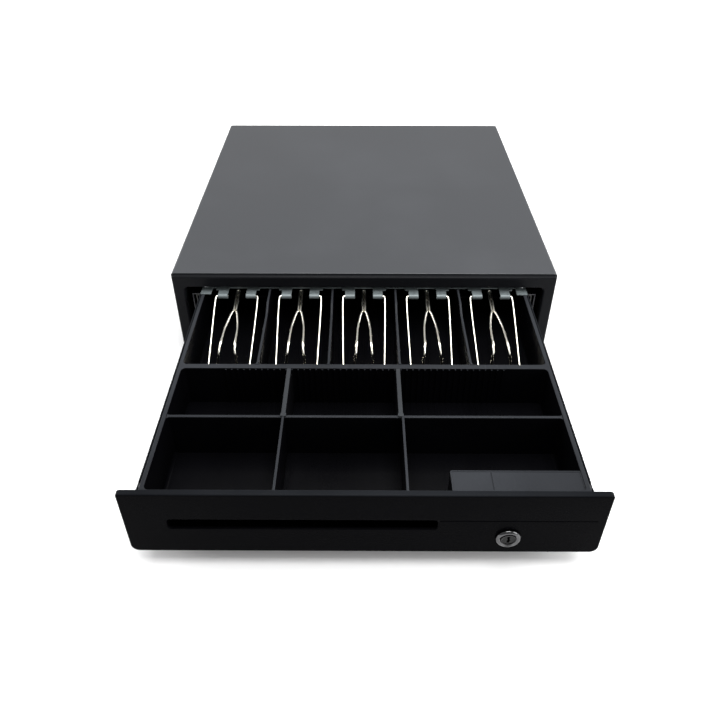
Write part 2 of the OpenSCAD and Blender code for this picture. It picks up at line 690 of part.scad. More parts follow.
module hinge_plate() color([0.55, 0.57, 0.53]) in_drawer() {
    z = [rim_z, plate_top];
    difference() {
        union() {
            block([-foot_x[1], foot_x[1]], [web_d, web_back], z);
            both_sides() block(foot_x, [pivot_d + 0.5, web_d + 1], z);
            for (x = clip_x, s = [-1, 1]) block_at(x, s, [9.6, 23.6], [web_d - 4, web_d + 1], z);
        }
        both_sides() rod_z(plate_screw[0], plate_screw[1], [rim_z - 1, plate_top + 1], 1.7);
    }
    for (x = clip_x, s = [-1, 1]) {
        block_at(x, s, [9.6, 20], [pivot_d, web_d + 1], z);
        difference() {
            curl_at(x, s, curl_r);
            curl_at(x, s, curl_r - plate_t, 1);
            block_at(x, s, [9, 21], [pivot_d, pivot_d + 5], [pivot_z - 5, pivot_z + curl_r - plate_t]);
        }
    }
}

module block_at(x, side, across, y, z)
    block([x + min(side * across[0], side * across[1]), x + max(side * across[0], side * across[1])], y, z);

module curl_at(x, side, r, more = 0) {
    ends = [x + side * 9.6, x + side * 20];
    rod_x([min(ends) - more, max(ends) + more], pivot_d, pivot_z, r);
}

module hinge_plate_screws() color([0.85, 0.85, 0.86]) in_drawer() both_sides()
    translate([plate_screw[0], plate_screw[1], plate_top]) pan_head(3.6, 1.4, plate_t + 3, 1.5);

// Half of a clip's wire, from the pivot to the end of the double rod: across, behind the pivot, above it
clip_half = [
    [clip_half_w - 2.5, 0, 0],
    [clip_half_w - 0.6, 0, 0],
    [clip_half_w + 0.6, -1.6, -0.5],
    [clip_half_w + 0.8, -12, -4.8],
    [clip_half_w + 0.3, -37.5, -15.2],
    [clip_half_w - 0.3, -57.5, -23.4],
    [clip_half_w - 0.9, -79.5, -32.4],
    [clip_half_w - 1.4, -93, -37.8],
    [clip_half_w - 3, -98.2, -39.9],
    [clip_half_w - 6, -100, -40.6],
    [clip_half_w - 9.6, -98, -39.8],
    [clip_half_w - 12, -90, -35],
    [clip_half_w - 12.3, -82.5, -23.2],
    [clip_half_w - 14, -73.5, -9.8],
    [6.3, -46, -7.6],
    [4.5, -31.5, -6.5],
    [2.5, -21.5, -5.6],
    [1.35, -17.5, -5.4],
    [1.35, 12.2, -0.8]];

module bill_clip(x) translate([x, pivot_d, pivot_z]) {
    both_sides() {
        tube(smooth(clip_half, 2), wire_r);
        rod_x([clip_half_w - 11, clip_half_w - 1.4], 0, 0, wire_r + 0.1);
    }
    rod_x([-1.35, 1.35], 11.6, -0.85, wire_r + 0.1);
}

nickel = [0.86, 0.86, 0.84];

module bill_clip_1() color(nickel) in_drawer() bill_clip(clip_x[0]);
module bill_clip_2() color(nickel) in_drawer() bill_clip(clip_x[1]);
module bill_clip_3() color(nickel) in_drawer() bill_clip(clip_x[2]);
module bill_clip_4() color(nickel) in_drawer() bill_clip(clip_x[3]);
module bill_clip_5() color(nickel) in_drawer() bill_clip(clip_x[4]);

top_cover();
base_pan();
front_frame();
rear_panel();
left_rail_bracket();
right_rail_bracket();
left_outer_rail();
right_outer_rail();
housing_rail_screws();
rubber_feet();
foot_screws();
cover_screws();
lock_catch();
latch_bracket();
latch_screws();
latch_pivot_pin();
solenoid_frame();
solenoid_coil();
latch_return_spring();
kick_spring();
kick_spring_guide();
drawer_switch();
switch_leaf();
cable_socket();
latch_lever();
solenoid_plunger();
left_ball_cage();
right_ball_cage();
left_balls();
right_balls();
drawer_pan();
front_panel();
panel_brackets();
left_inner_rail();
right_inner_rail();
drawer_rail_screws();
striker();
lock_body();
lock_nut();
till();
hinge_plate();
hinge_plate_screws();
lock_plug();
lock_cam();
lock_cam_screw();
coin_divider_1();
coin_divider_2();
bill_clip_1();
bill_clip_2();
bill_clip_3();
bill_clip_4();
bill_clip_5();
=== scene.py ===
"""A cash drawer standing open: bent-steel housing, note and coin till, bill clips, lock and slides."""
import json
import math

import bmesh
import bpy
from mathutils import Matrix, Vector


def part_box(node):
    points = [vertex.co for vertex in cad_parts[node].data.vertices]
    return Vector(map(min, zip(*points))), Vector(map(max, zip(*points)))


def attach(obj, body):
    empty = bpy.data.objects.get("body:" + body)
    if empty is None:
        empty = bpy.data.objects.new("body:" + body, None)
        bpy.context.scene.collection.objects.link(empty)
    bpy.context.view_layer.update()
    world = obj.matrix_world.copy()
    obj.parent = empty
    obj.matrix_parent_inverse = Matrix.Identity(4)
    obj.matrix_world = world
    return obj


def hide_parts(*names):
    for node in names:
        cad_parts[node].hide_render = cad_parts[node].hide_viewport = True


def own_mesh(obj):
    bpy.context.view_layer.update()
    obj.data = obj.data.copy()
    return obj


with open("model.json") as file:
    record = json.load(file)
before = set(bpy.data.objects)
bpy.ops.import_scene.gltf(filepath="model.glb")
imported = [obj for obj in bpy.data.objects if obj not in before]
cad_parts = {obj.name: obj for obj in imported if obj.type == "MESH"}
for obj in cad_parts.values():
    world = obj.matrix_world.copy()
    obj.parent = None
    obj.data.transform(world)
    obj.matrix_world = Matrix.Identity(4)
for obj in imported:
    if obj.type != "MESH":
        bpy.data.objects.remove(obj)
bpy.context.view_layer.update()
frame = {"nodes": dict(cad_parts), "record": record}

MM = 0.001
RECORD = frame["record"]
SLOT_OF = {part["node"]: part["material_slot"] for part in RECORD["subparts"]}
BODY_OF = {node: name for name, body in RECORD["behaviour"]["bodies"].items() for node in body}


def low(node):
    """Lowest corner of a CAD node at rest, in millimetres."""
    return Vector(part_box(node)[0]) / MM


def high(node):
    """Highest corner of a CAD node at rest, in millimetres."""
    return Vector(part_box(node)[1]) / MM


HOUSE_Y = low("front_frame").y      # the front plane of the housing
FACE_Y = low("front_panel").y       # the face of the drawer
SHEET = 1.2                         # thickness of the sheet steel


def in_row(x, y, z):
    """Millimetres in the row frame itself."""
    return x, y, z


def in_house(x, y, z):
    """From millimetres behind the housing's front plane to the row frame."""
    return x, HOUSE_Y + y, z


def in_drawer(x, d, z):
    """From millimetres behind the drawer's face to the row frame."""
    return x, FACE_Y + d, z


# ---------------------------------------------------------------- outlines

def arc(cx, cy, r, start, end, steps):
    """Points on a circle, from one angle to another in degrees."""
    turns = [math.radians(start + (end - start) * i / steps) for i in range(steps + 1)]
    return [Vector((cx + r * math.cos(t), cy + r * math.sin(t))) for t in turns]


def round_rect(x0, x1, y0, y1, r_low, r_high=None, steps=6):
    """An anticlockwise rectangle with its low and its high corners rounded."""
    r_high = r_low if r_high is None else r_high
    return (arc(x0 + r_low, y0 + r_low, r_low, 180, 270, steps)
            + arc(x1 - r_low, y0 + r_low, r_low, 270, 360, steps)
            + arc(x1 - r_high, y1 - r_high, r_high, 0, 90, steps)
            + arc(x0 + r_high, y1 - r_high, r_high, 90, 180, steps))


def quarter(steps):
    """Angles from nothing to a right angle, for a rounded edge."""
    return [math.pi / 2 * k / steps for k in range(steps + 1)]


def circle(cx, cy, r, steps=32):
    return arc(cx, cy, r, 0, 360, steps)[:-1]


def round_corners(points, r, steps=3):
    """The polygon with each corner rounded by r, or by less where a side is short."""
    out = []
    for i, p in enumerate(points):
        p = Vector(p)
        a, b = Vector(points[i - 1]) - p, Vector(points[(i + 1) % len(points)]) - p
        reach = min(r, a.length * 0.45, b.length * 0.45)
        start, end = p + a.normalized() * reach, p + b.normalized() * reach
        for k in range(steps + 1):
            t = k / steps
            out.append(start * (1 - t) ** 2 + p * 2 * t * (1 - t) + end * t ** 2)
    return out


def inset(points, d):
    """The anticlockwise outline moved inwards by d."""
    out = []
    for i, p in enumerate(points):
        u = (p - points[i - 1]).normalized()
        v = (points[(i + 1) % len(points)] - p).normalized()
        normal = Vector((-u.y - v.y, u.x + v.x)).normalized()
        out.append(p + normal * (d / max(0.4, normal.dot(Vector((-u.y, u.x))))))
    return out


def smooth(points, steps):
    """A smooth curve through the points."""
    pts = [Vector(p) for p in points]
    out = []
    for i in range(len(pts) - 1):
        a, b, c, d = pts[max(i - 1, 0)], pts[i], pts[i + 1], pts[min(i + 2, len(pts) - 1)]
        for k in range(steps):
            t = k / steps
            out.append(b + 0.5 * t * (c - a + t * (2 * a - 5 * b + 4 * c - d + t * (3 * (b - c) + d - a))))
    return out + [pts[-1]]


# ---------------------------------------------------------------- one piece's surface

class Skin:
    """Collects the faces of one piece. Its methods take millimetres, through the map `to`."""

    def __init__(self, to=in_drawer):
        self.bm = bmesh.new()
        self.to = to

    def ring(self, outline, level):
        """The outline at a level; level is a number or a function of the point."""
        return [self.bm.verts.new(self.to(p[0], p[1], level(p) if callable(level) else level))
                for p in outline]

    def path(self, points):
        return [self.bm.verts.new(self.to(*p)) for p in points]

    def join(self, rings, closed=True):
        for a, b in zip(rings, rings[1:]):
            for i in range(len(a) if closed else len(a) - 1):
                j = (i + 1) % len(a)
                self.bm.faces.new((a[i], a[j], b[j], b[i]))

    def cap(self, ring):
        self.bm.faces.new(ring)

    def strip_cap(self, ring):
        """Closes a ring whose two long sides mirror each other, with a strip of quads."""
        n = len(ring)
        for i in range(n // 2 - 1):
            self.bm.faces.new((ring[i], ring[i + 1], ring[n - 2 - i], ring[n - 1 - i]))

    def fill(self, rings):
        """A flat face inside the first ring, with the other rings as holes in it."""
        edges = []
        for ring in rings:
            for i, v in enumerate(ring):
                pair = (v, ring[(i + 1) % len(ring)])
                edges.append(self.bm.edges.get(pair) or self.bm.edges.new(pair))
        bmesh.ops.triangle_fill(self.bm, use_beauty=True, edges=edges)

    def block(self, outline, z0, z1, r=0.4, r_low=0.0, top=None, steps=3):
        """A closed prism with its upper edge, and its lower one if asked, rounded.
        top(point) adds a height to the upper face."""
        rise = top or (lambda p: 0.0)
        rings = []
        if r_low:
            for a in quarter(steps):
                rings.append(self.ring(inset(outline, r_low * (1 - math.sin(a))),
                                       z0 + r_low * (1 - math.cos(a))))
        else:
            rings.append(self.ring(outline, z0))
        for a in quarter(steps):
            moved = inset(outline, r * (1 - math.cos(a)))
            level = z1 - r + r * math.sin(a)
            rings.append([self.bm.verts.new(self.to(q.x, q.y, level + rise(p)))
                          for p, q in zip(outline, moved)])
        self.join(rings)
        self.cap(rings[0])
        if top:
            self.strip_cap(rings[-1])
        else:
            self.cap(rings[-1])

    def pocket(self, outline, top, floor, rim_r=0.6, floor_r=2.0, draft=0.0, steps=4, levels=()):
        """The inside of a hollow, from its rounded rim down to its floor. Returns the rim's ring."""
        rings = []
        for a in quarter(steps):
            rings.append(self.ring(inset(outline, -rim_r * (1 - math.sin(a))),
                                   top - rim_r * (1 - math.cos(a))))
        for level in levels:
            rings.append(self.ring(inset(outline, draft * (top - level)), level))
        lean = draft * (top - floor)
        for a in quarter(steps):
            rings.append(self.ring(inset(outline, lean + floor_r * (1 - math.cos(a))),
                                   floor + floor_r * (1 - math.sin(a))))
        self.join(rings)
        self.cap(rings[-1])
        return rings[0]

    def lathe(self, at, profile, axis="z", sides=40, turn=1):
        """A body of revolution: profile holds (radius, distance along the axis) pairs."""
        cx, cy, cz = at
        rings = []
        for r, t in profile:
            points = []
            for k in range(sides if r > 0 else 1):
                a = 2 * math.pi * k / sides
                u, v = r * math.cos(a), r * math.sin(a)
                points.append({"z": (cx + u, cy + v, cz + t * turn), "y": (cx + u, cy + t * turn, cz + v),
                               "x": (cx + t * turn, cy + u, cz + v)}[axis])
            rings.append(self.path(points))
        for a, b in zip(rings, rings[1:]):
            for i in range(sides):
                j = (i + 1) % sides
                quad = [a[i % len(a)], a[j % len(a)], b[j % len(b)], b[i % len(b)]]
                self.bm.faces.new(list(dict.fromkeys(quad)))
        return rings

    def tube(self, points, r, sides=12):
        """A round wire along a path, with rounded ends."""
        pts = [Vector(p) for p in points]
        along = [(pts[min(i + 1, len(pts) - 1)] - pts[max(i - 1, 0)]).normalized() for i in range(len(pts))]
        side = along[0].cross(Vector((0, 0, 1)))
        side = (side if side.length > 0.1 else along[0].cross(Vector((0, 1, 0)))).normalized()
        rings = []
        angles = [2 * math.pi * k / sides for k in range(sides)]
        for i, p in enumerate(pts):
            side = (side - along[i] * side.dot(along[i])).normalized()
            up = along[i].cross(side)
            ends = [(1.0, 0.0)]
            if i == 0:
                ends = [(0.35, -0.9), (0.75, -0.6), (1.0, 0.0)]
            elif i == len(pts) - 1:
                ends = [(1.0, 0.0), (0.75, 0.6), (0.35, 0.9)]
            for wide, out in ends:
                middle = p + along[i] * out * r
                rings.append(self.path([middle + (side * math.cos(a) + up * math.sin(a)) * r * wide
                                        for a in angles]))
        self.join(rings)
        self.cap(rings[0])
        self.cap(rings[-1])

    def screw_head(self, r, h):
        """A pan head with a recess, standing on the plane w = 0 of the map, at its origin."""
        sides, flat = 32, 0.62
        rings = [self.ring(circle(0, 0, r, sides), 0.0), self.ring(circle(0, 0, r, sides), h * 0.35)]
        for k in range(1, 5):
            a = math.pi / 2 * k / 4
            rings.append(self.ring(circle(0, 0, r * (flat + (1 - flat) * math.cos(a)), sides),
                                   h * (0.35 + 0.65 * math.sin(a))))
        self.join(rings)
        self.cap(rings[0])
        a, b = r * 0.13, r * 0.5
        cross = [(a, a), (a, b), (-a, b), (-a, a), (-b, a), (-b, -a), (-a, -a), (-a, -b), (a, -b), (a, -a),
                 (b, -a), (b, a)]
        outline = [Vector(p) for p in cross]
        upper, lower = self.ring(outline, h), self.ring([p * 0.7 for p in outline], h * 0.3)
        self.join([upper, lower])
        self.cap(lower)
        self.fill([rings[-1], upper])

    def piece(self, name, *nodes, sharp=32):
        """Makes the object, with its finish and its body taken from the nodes that it stands for."""
        bmesh.ops.remove_doubles(self.bm, verts=self.bm.verts, dist=0.0005)
        bmesh.ops.recalc_face_normals(self.bm, faces=self.bm.faces)
        bmesh.ops.scale(self.bm, vec=(MM, MM, MM), verts=self.bm.verts)
        mesh = bpy.data.meshes.new(name)
        self.bm.to_mesh(mesh)
        self.bm.free()
        obj = bpy.data.objects.new(name, mesh)
        bpy.context.scene.collection.objects.link(obj)
        return dress(obj, *nodes, sharp=sharp)


def dress(obj, *nodes, sharp=32):
    """Shades the piece, gives it its finish, and puts it on the body of the nodes it stands for."""
    obj.data.polygons.foreach_set("use_smooth", [True] * len(obj.data.polygons))
    obj.data.set_sharp_from_angle(angle=math.radians(sharp))
    flat = obj.modifiers.new("flat faces stay flat", "WEIGHTED_NORMAL")
    flat.keep_sharp = True
    flat.weight = 60
    graph = bpy.context.evaluated_depsgraph_get()
    final = bpy.data.meshes.new_from_object(obj.evaluated_get(graph))
    obj.modifiers.clear()
    obj.data = final
    obj.data.materials.clear()
    obj.data.materials.append(NODE_FINISH.get(nodes[0]) or FINISH[SLOT_OF[nodes[0]]])
    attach(obj, BODY_OF[nodes[0]])
    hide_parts(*nodes)
    return obj


# ---------------------------------------------------------------- finishes

class Graph:
    """A small helper that adds and links shader nodes."""

    def __init__(self, name):
        self.material = bpy.data.materials.new(name)
        self.material.use_nodes = True
        self.tree = self.material.node_tree
        self.shader = next(n for n in self.tree.nodes if n.type == "BSDF_PRINCIPLED")
        self.place = self.add("ShaderNodeTexCoord").outputs["Object"]

    def add(self, kind, links=None, **values):
        node = self.tree.nodes.new(kind)
        for key, value in values.items():
            setattr(node, key, value)
        for key, value in (links or {}).items():
            if isinstance(value, bpy.types.NodeSocket):
                self.tree.links.new(value, node.inputs[key])
            else:
                node.inputs[key].default_value = value
        return node

    def stretched(self, scale):
        return self.add("ShaderNodeMapping", {"Vector": self.place, "Scale": scale}).outputs["Vector"]

    def noise(self, scale, detail=3.0, rough=0.55, where=None):
        return self.add("ShaderNodeTexNoise", {"Vector": where or self.place, "Scale": scale,
                                               "Detail": detail, "Roughness": rough}).outputs["Fac"]

    def cells(self, scale, output="Color", **values):
        links = {"Vector": self.place, "Scale": scale}
        return self.add("ShaderNodeTexVoronoi", links, **values).outputs[output]

    def ranged(self, value, low_out, high_out, low_in=0.3, high_in=0.7):
        return self.add("ShaderNodeMapRange", {"Value": value, "From Min": low_in, "From Max": high_in,
                                               "To Min": low_out, "To Max": high_out}).outputs["Result"]

    def blend(self, factor, a, b):
        """A colour between a and b."""
        node = self.add("ShaderNodeMix", data_type="RGBA")
        for index, value in ((0, factor), (6, a), (7, b)):
            if isinstance(value, bpy.types.NodeSocket):
                self.tree.links.new(value, node.inputs[index])
            else:
                node.inputs[index].default_value = (*value, 1.0)
        return node.outputs[2]

    def relief(self, height, distance, strength=1.0, over=None):
        links = {"Height": height, "Distance": distance, "Strength": strength}
        if over:
            links["Normal"] = over
        return self.add("ShaderNodeBump", links).outputs["Normal"]

    def painted_rim_highlight(self, tone, colour, lowest, highest):
        """Paints the upward faces between two heights paler, unevenly: a painted highlight on the rims and
        tops.
        """
        surface_coords = self.add("ShaderNodeTexCoord")
        up = self.add("ShaderNodeSeparateXYZ", {"Vector": surface_coords.outputs["Normal"]}).outputs["Z"]
        height = self.add("ShaderNodeSeparateXYZ", {"Vector": self.place}).outputs["Z"]
        above = self.ranged(height, 0.0, 1.0, lowest - 0.0003, lowest)
        below = self.ranged(height, 1.0, 0.0, highest, highest + 0.0003)
        facing = self.ranged(up, 0.0, 1.0, 0.25, 0.9)
        mask = self.add("ShaderNodeMath", {0: above, 1: below}, operation="MULTIPLY").outputs[0]
        mask = self.add("ShaderNodeMath", {0: mask, 1: facing}, operation="MULTIPLY").outputs[0]
        uneven = self.ranged(self.noise(9.0, 3.0), 0.6, 1.0)
        mask = self.add("ShaderNodeMath", {0: mask, 1: uneven}, operation="MULTIPLY").outputs[0]
        return self.blend(mask, tone, colour)

    def paint(self, colour, rough, normal, metallic=0.0, gloss=0.5, coat=0.0, coat_rough=0.1):
        shader = self.shader
        self.tree.links.new(colour, shader.inputs["Base Color"])
        self.tree.links.new(rough, shader.inputs["Roughness"])
        self.tree.links.new(normal, shader.inputs["Normal"])
        shader.inputs["Metallic"].default_value = metallic
        shader.inputs["Specular IOR Level"].default_value = gloss
        shader.inputs["Coat Weight"].default_value = coat
        shader.inputs["Coat Roughness"].default_value = coat_rough
        return self.material


def shade(colour, factor):
    return tuple(min(1.0, c * factor) for c in colour)


def powder_coat(name, colour, rough, gloss, rim_highlight=None, peel=0.00004, smudge=0.06):
    """Baked powder coat: orange peel, fine speckle and faint handling marks."""
    g = Graph(name)
    marks = g.noise(7.0, 5.0, 0.6)
    speckle = g.noise(2600.0, 2.0)
    tone = g.blend(g.ranged(speckle, 0.0, 1.0), shade(colour, 0.9), shade(colour, 1.12))
    tone = g.blend(g.ranged(marks, 0.0, 1.0, 0.45, 0.75), tone, shade(colour, 1.2))
    # an optional painted highlight: upward faces between two heights painted paler
    if rim_highlight:
        tone = g.painted_rim_highlight(tone, *rim_highlight)
    peel_bump = g.relief(g.noise(420.0, 2.0), peel)
    fine_bump = g.relief(speckle, peel * 0.25, 0.7, peel_bump)
    return g.paint(tone, g.ranged(marks, rough - smudge, rough + smudge), fine_bump, 0.0, gloss)


def moulding(name, colour, rough, gloss, rim_highlight=None, grain=0.00002):
    """Injection-moulded plastic: fine spark texture and soft flow marks."""
    g = Graph(name)
    flow = g.noise(11.0, 4.0, 0.6, g.stretched((1.0, 0.35, 1.6)))
    spark = g.noise(3200.0, 2.0)
    tone = g.blend(g.ranged(flow, 0.0, 1.0), shade(colour, 0.85), shade(colour, 1.2))
    # an optional painted highlight: upward faces between two heights painted paler
    if rim_highlight:
        tone = g.painted_rim_highlight(tone, *rim_highlight)
    bump = g.relief(spark, grain, 0.8, g.relief(flow, 0.00012, 0.25))
    return g.paint(tone, g.ranged(flow, rough - 0.05, rough + 0.07), bump, 0.0, gloss)


def zinc(name, colour, rough, cell=90.0, contrast=0.14, grain=0.000012, metallic=1.0):
    """Zinc-coated steel: a spangle of flat crystals and fine rolling lines."""
    g = Graph(name)
    spangle = g.cells(cell, "Color", distance="CHEBYCHEV")
    lines = g.noise(900.0, 2.0, 0.5, g.stretched((0.04, 1.0, 1.0)))
    crystal = g.add("ShaderNodeSeparateColor", {"Color": spangle}).outputs["Red"]
    tone = g.blend(crystal, shade(colour, 1 - contrast), shade(colour, 1 + contrast))
    tone = g.blend(g.ranged(lines, 0.0, 0.35), tone, shade(colour, 0.8))
    rough_map = g.ranged(crystal, rough - 0.07, rough + 0.09, 0.0, 1.0)
    return g.paint(tone, rough_map, g.relief(lines, grain, 0.6), metallic)


def plating(name, colour, rough, line_stretch=(0.08, 1.0, 1.0), line=1500.0, wear=0.12):
    """Bright plated or polished metal: drawing lines, faint clouding and a few dull spots."""
    g = Graph(name)
    lines = g.noise(line, 2.0, 0.5, g.stretched(line_stretch))
    cloud = g.noise(60.0, 4.0, 0.6)
    tone = g.blend(g.ranged(cloud, 0.0, 1.0), shade(colour, 1 - wear), shade(colour, 1.03))
    rough_map = g.ranged(cloud, rough * 0.7, rough * 1.5)
    return g.paint(tone, rough_map, g.relief(lines, 0.000006, 0.5), 1.0)


def rubber(name, colour):
    g = Graph(name)
    dust = g.noise(140.0, 5.0, 0.65)
    grain = g.noise(1700.0, 3.0)
    tone = g.blend(g.ranged(dust, 0.0, 0.6), colour, shade(colour, 2.2))
    return g.paint(tone, g.ranged(dust, 0.62, 0.85), g.relief(grain, 0.00005, 0.7), 0.0, 0.3)


FINISH = {
    "cover_steel": powder_coat("cover_powder_coat", (0.034, 0.0362, 0.0405), 0.36, 0.5, smudge=0.03),
    # the third group on black steel is a painted highlight: a paler colour on upward faces between two
    # heights
    "black_steel": powder_coat("black_powder_coat", (0.001, 0.001, 0.0014), 0.24, 0.009,
                               ((0.011, 0.012, 0.014), 0.086, 0.092)),
    "galvanised": zinc("galvanised_steel", (0.4, 0.41, 0.4), 0.4, 140.0, 0.1, metallic=0.85),
    "plate_steel": zinc("galvanised_plate", (0.15, 0.175, 0.18), 0.5, 240.0, 0.06, metallic=0.35),
    "rail_steel": zinc("slide_black_zinc", (0.05, 0.05, 0.053), 0.34, 420.0, 0.05),
    "bearing_steel": plating("bearing_steel", (0.75, 0.75, 0.76), 0.1),
    "screw_steel": plating("screw_zinc", (0.72, 0.73, 0.75), 0.24),
    "spring_wire": plating("spring_wire", (0.55, 0.55, 0.56), 0.24),
    "nickel_wire": plating("nickel_wire", (0.9, 0.87, 0.78), 0.12, (1.0, 0.05, 1.0)),
    "lock_chrome": plating("lock_chrome", (0.09, 0.09, 0.093), 0.13, (1.0, 1.0, 0.1)),
    "lock_brass": plating("lock_nickel", (0.014, 0.014, 0.0145), 0.18, (1.0, 1.0, 0.1)),
    # the third groups on both plastics are painted highlights on the upward rims and on the block's top
    "till_plastic": moulding("till_abs", (0.0014, 0.0014, 0.0019), 0.28, 0.05,
                             ((0.026, 0.028, 0.032), 0.0836, 0.092)),
    "divider_plastic": moulding("divider_abs", (0.003, 0.003, 0.0036), 0.34, 0.09,
                                ((0.036, 0.039, 0.043), 0.0836, 0.095)),
    "foot_rubber": rubber("foot_rubber", (0.012, 0.012, 0.012)),
    "coil_copper": plating("coil_enamelled_copper", (0.62, 0.26, 0.1), 0.3, (1.0, 1.0, 1.0)),
    "switch_plastic": moulding("switch_nylon", (0.02, 0.018, 0.018), 0.45, 0.4),
    "socket_plastic": moulding("socket_nylon", (0.012, 0.012, 0.013), 0.42, 0.4),
}
# The ball cages get a dark zinc, far darker than their galvanised slot: painted shade, for the shade they
# sit in inside the housing.
CAGE_PAINTED_SHADE = zinc("cage_steel_painted_shade", (0.07, 0.07, 0.068), 0.4, 260.0, 0.08)
NODE_FINISH = {  # nodes that look unlike the rest of their slot
    "left_ball_cage": CAGE_PAINTED_SHADE,
    "right_ball_cage": CAGE_PAINTED_SHADE,
    # the frame gets a paler copy of the black powder coat: painted light, for the sheen on its face
    "front_frame": powder_coat("frame_coat_painted_light", (0.006, 0.0063, 0.0074), 0.3, 0.04),
}


# ---------------------------------------------------------------- pieces made from their CAD nodes

def soften(node, width=0.25, sharp=30):
    """A copy of a CAD node with its hard edges broken, as on a real deburred or moulded piece."""
    bm = bmesh.new()
    bm.from_mesh(frame["nodes"][node].data)
    bmesh.ops.remove_doubles(bm, verts=bm.verts, dist=0.000002)
    bmesh.ops.dissolve_limit(bm, angle_limit=math.radians(1.0), verts=bm.verts, edges=bm.edges)
    mesh = bpy.data.meshes.new(node + "_detail")
    bm.to_mesh(mesh)
    bm.free()
    obj = bpy.data.objects.new(node + "_detail", mesh)
    bpy.context.scene.collection.objects.link(obj)
    if width:
        bevel = obj.modifiers.new("edges", "BEVEL")
        bevel.width = width * MM
        bevel.segments = 2
        bevel.limit_method = "ANGLE"
        bevel.angle_limit = math.radians(sharp)
        graph = bpy.context.evaluated_depsgraph_get()
        final = bpy.data.meshes.new_from_object(obj.evaluated_get(graph))
        obj.modifiers.clear()
        obj.data = final
    return dress(obj, node, sharp=sharp)


# ---------------------------------------------------------------- housing

def make_top_cover():
    """One bent sheet: both sides and the top, with tight bends and rounded cut edges."""
    lo, hi = low("top_cover"), high("top_cover")
    half, top, bottom = hi.x, hi.z, lo.z
    bend, steps = 3.5, 8
    outer = ([Vector((half, bottom))] + arc(half - bend, top - bend, bend, 0, 90, steps)
             + arc(-half + bend, top - bend, bend, 90, 180, steps) + [Vector((-half, bottom))])
    r, h, t = bend - SHEET, half - SHEET, top - SHEET
    inner = ([Vector((-h, bottom))] + arc(-h + r, t - r, r, 180, 90, steps)
             + arc(h - r, t - r, r, 90, 0, steps) + [Vector((h, bottom))])
    outline = outer + inner
    skin = Skin(lambda x, z, y: (x, y, z))
    edge = 0.5
    rings = []
    for a in quarter(4):
        rings.append(skin.ring(inset(outline, edge * (1 - math.sin(a))), lo.y + edge * (1 - math.cos(a))))
    for a in quarter(4):
        rings.append(skin.ring(inset(outline, edge * (1 - math.cos(a))), hi.y - edge + edge * math.sin(a)))
    skin.join(rings)
    skin.strip_cap(rings[0])
    skin.strip_cap(rings[-1])
    return skin.piece("top_cover_sheet", "top_cover")


def make_front_frame():
    """The frame round the opening: outer flange, rounded outer bend, face, inner bend, return flange."""
    lo, hi = low("front_frame"), high("front_frame")
    half, bottom, top, back = hi.x, lo.z, hi.z, hi.y - HOUSE_Y
    open_half, open_low, open_top, open_back = 191.0, 17.0, 93.0, 9.0
    bend = 2.2
    inner_bend = bend - SHEET
    skin = Skin(lambda x, z, y: in_house(x, y, z))

    def outer(d):
        return round_rect(-half + d, half - d, bottom + d, top - d, max(3.0 - d, 0.4), steps=8)

    def opening(d):
        return round_rect(-open_half - d, open_half + d, open_low - d, open_top + d, 5.0 + d, steps=8)

    rings = [skin.ring(outer(0.0), back - 0.2)]
    for a in quarter(5):
        rings.append(skin.ring(outer(bend * (1 - math.cos(a))), bend * (1 - math.sin(a))))
    for a in quarter(5):
        rings.append(skin.ring(opening(bend * (1 - math.sin(a))), bend * (1 - math.cos(a))))
    rings += [skin.ring(opening(0.0), open_back - 0.2), skin.ring(opening(0.2), open_back),
              skin.ring(opening(SHEET - 0.2), open_back), skin.ring(opening(SHEET), open_back - 0.2)]
    for a in quarter(3):
        rings.append(skin.ring(opening(SHEET + inner_bend * (1 - math.cos(a))),
                               SHEET + inner_bend * (1 - math.sin(a))))
    for a in quarter(3):
        rings.append(skin.ring(outer(SHEET + inner_bend * (1 - math.sin(a))),
                               SHEET + inner_bend * (1 - math.cos(a))))
    rings += [skin.ring(outer(SHEET), back - 0.2), skin.ring(outer(SHEET - 0.2), back),
              skin.ring(outer(0.2), back), rings[0]]
    skin.join(rings)
    return skin.piece("front_frame_sheet", "front_frame")


def make_foot_row():
    """Four rubber feet: a tapered side, a rolled lip and the sunk seat of the screw."""
    lo, hi = low("rubber_feet"), high("rubber_feet")
    r, h = 10.0, hi.z - lo.z
    profile = [(2.1, h), (r - 1.6, h), (r - 0.6, h - 0.3), (r - 0.4, h - 1.0), (r, 1.4), (r - 0.1, 0.7),
               (r - 0.5, 0.2), (r - 1.2, 0.0), (6.6, 0.0), (6.2, 0.4), (5.6, 0.5), (5.1, 0.1), (4.8, 0.0),
               (4.6, 0.3), (4.6, 4.0), (2.1, 4.0), (2.1, h)]
    skin = Skin(in_row)
    for x in (lo.x + r, hi.x - r):
        for y in (lo.y + r, hi.y - r):
            skin.lathe((x, y, lo.z), profile)
    return skin.piece("rubber_foot_set", "rubber_feet", sharp=50)


def make_screws(name, node, centres, direction, r, h, shank_r, length):
    """Recessed pan heads on their threaded shanks. direction is the way the heads look."""
    axis = "xyz".index(direction[1])
    sign = 1 if direction[0] == "+" else -1
    skin = Skin()
    for centre in centres:
        def to(u, v, w, c=centre):
            p = [u, v]
            p.insert(axis, w * sign)
            return tuple(a + b for a, b in zip(c, p))
        skin.to = to
        skin.screw_head(r, h)
        turns = max(3, int(length / 0.8))
        profile = [(0.0, -length)]
        for k in range(turns):
            z = -length + length * (k + 0.5) / turns
            profile += [(shank_r * 0.82, z - length / turns * 0.45), (shank_r, z)]
        profile += [(shank_r, 0.0), (0.0, 0.0)]
        skin.to = in_row
        skin.lathe(centre, profile, direction[1], 16, sign)
    return skin.piece(name, node)


def corners(node, r, level, axis=2):
    """The four outer centres of round heads of radius r in a node, at a level along an axis."""
    lo, hi = low(node), high(node)
    a, b = [i for i in range(3) if i != axis]
    out = []
    for u in (lo[a] + r, hi[a] - r):
        for v in (lo[b] + r, hi[b] - r):
            p = [u, v]
            p.insert(axis, level)
            out.append(tuple(p))
    return out


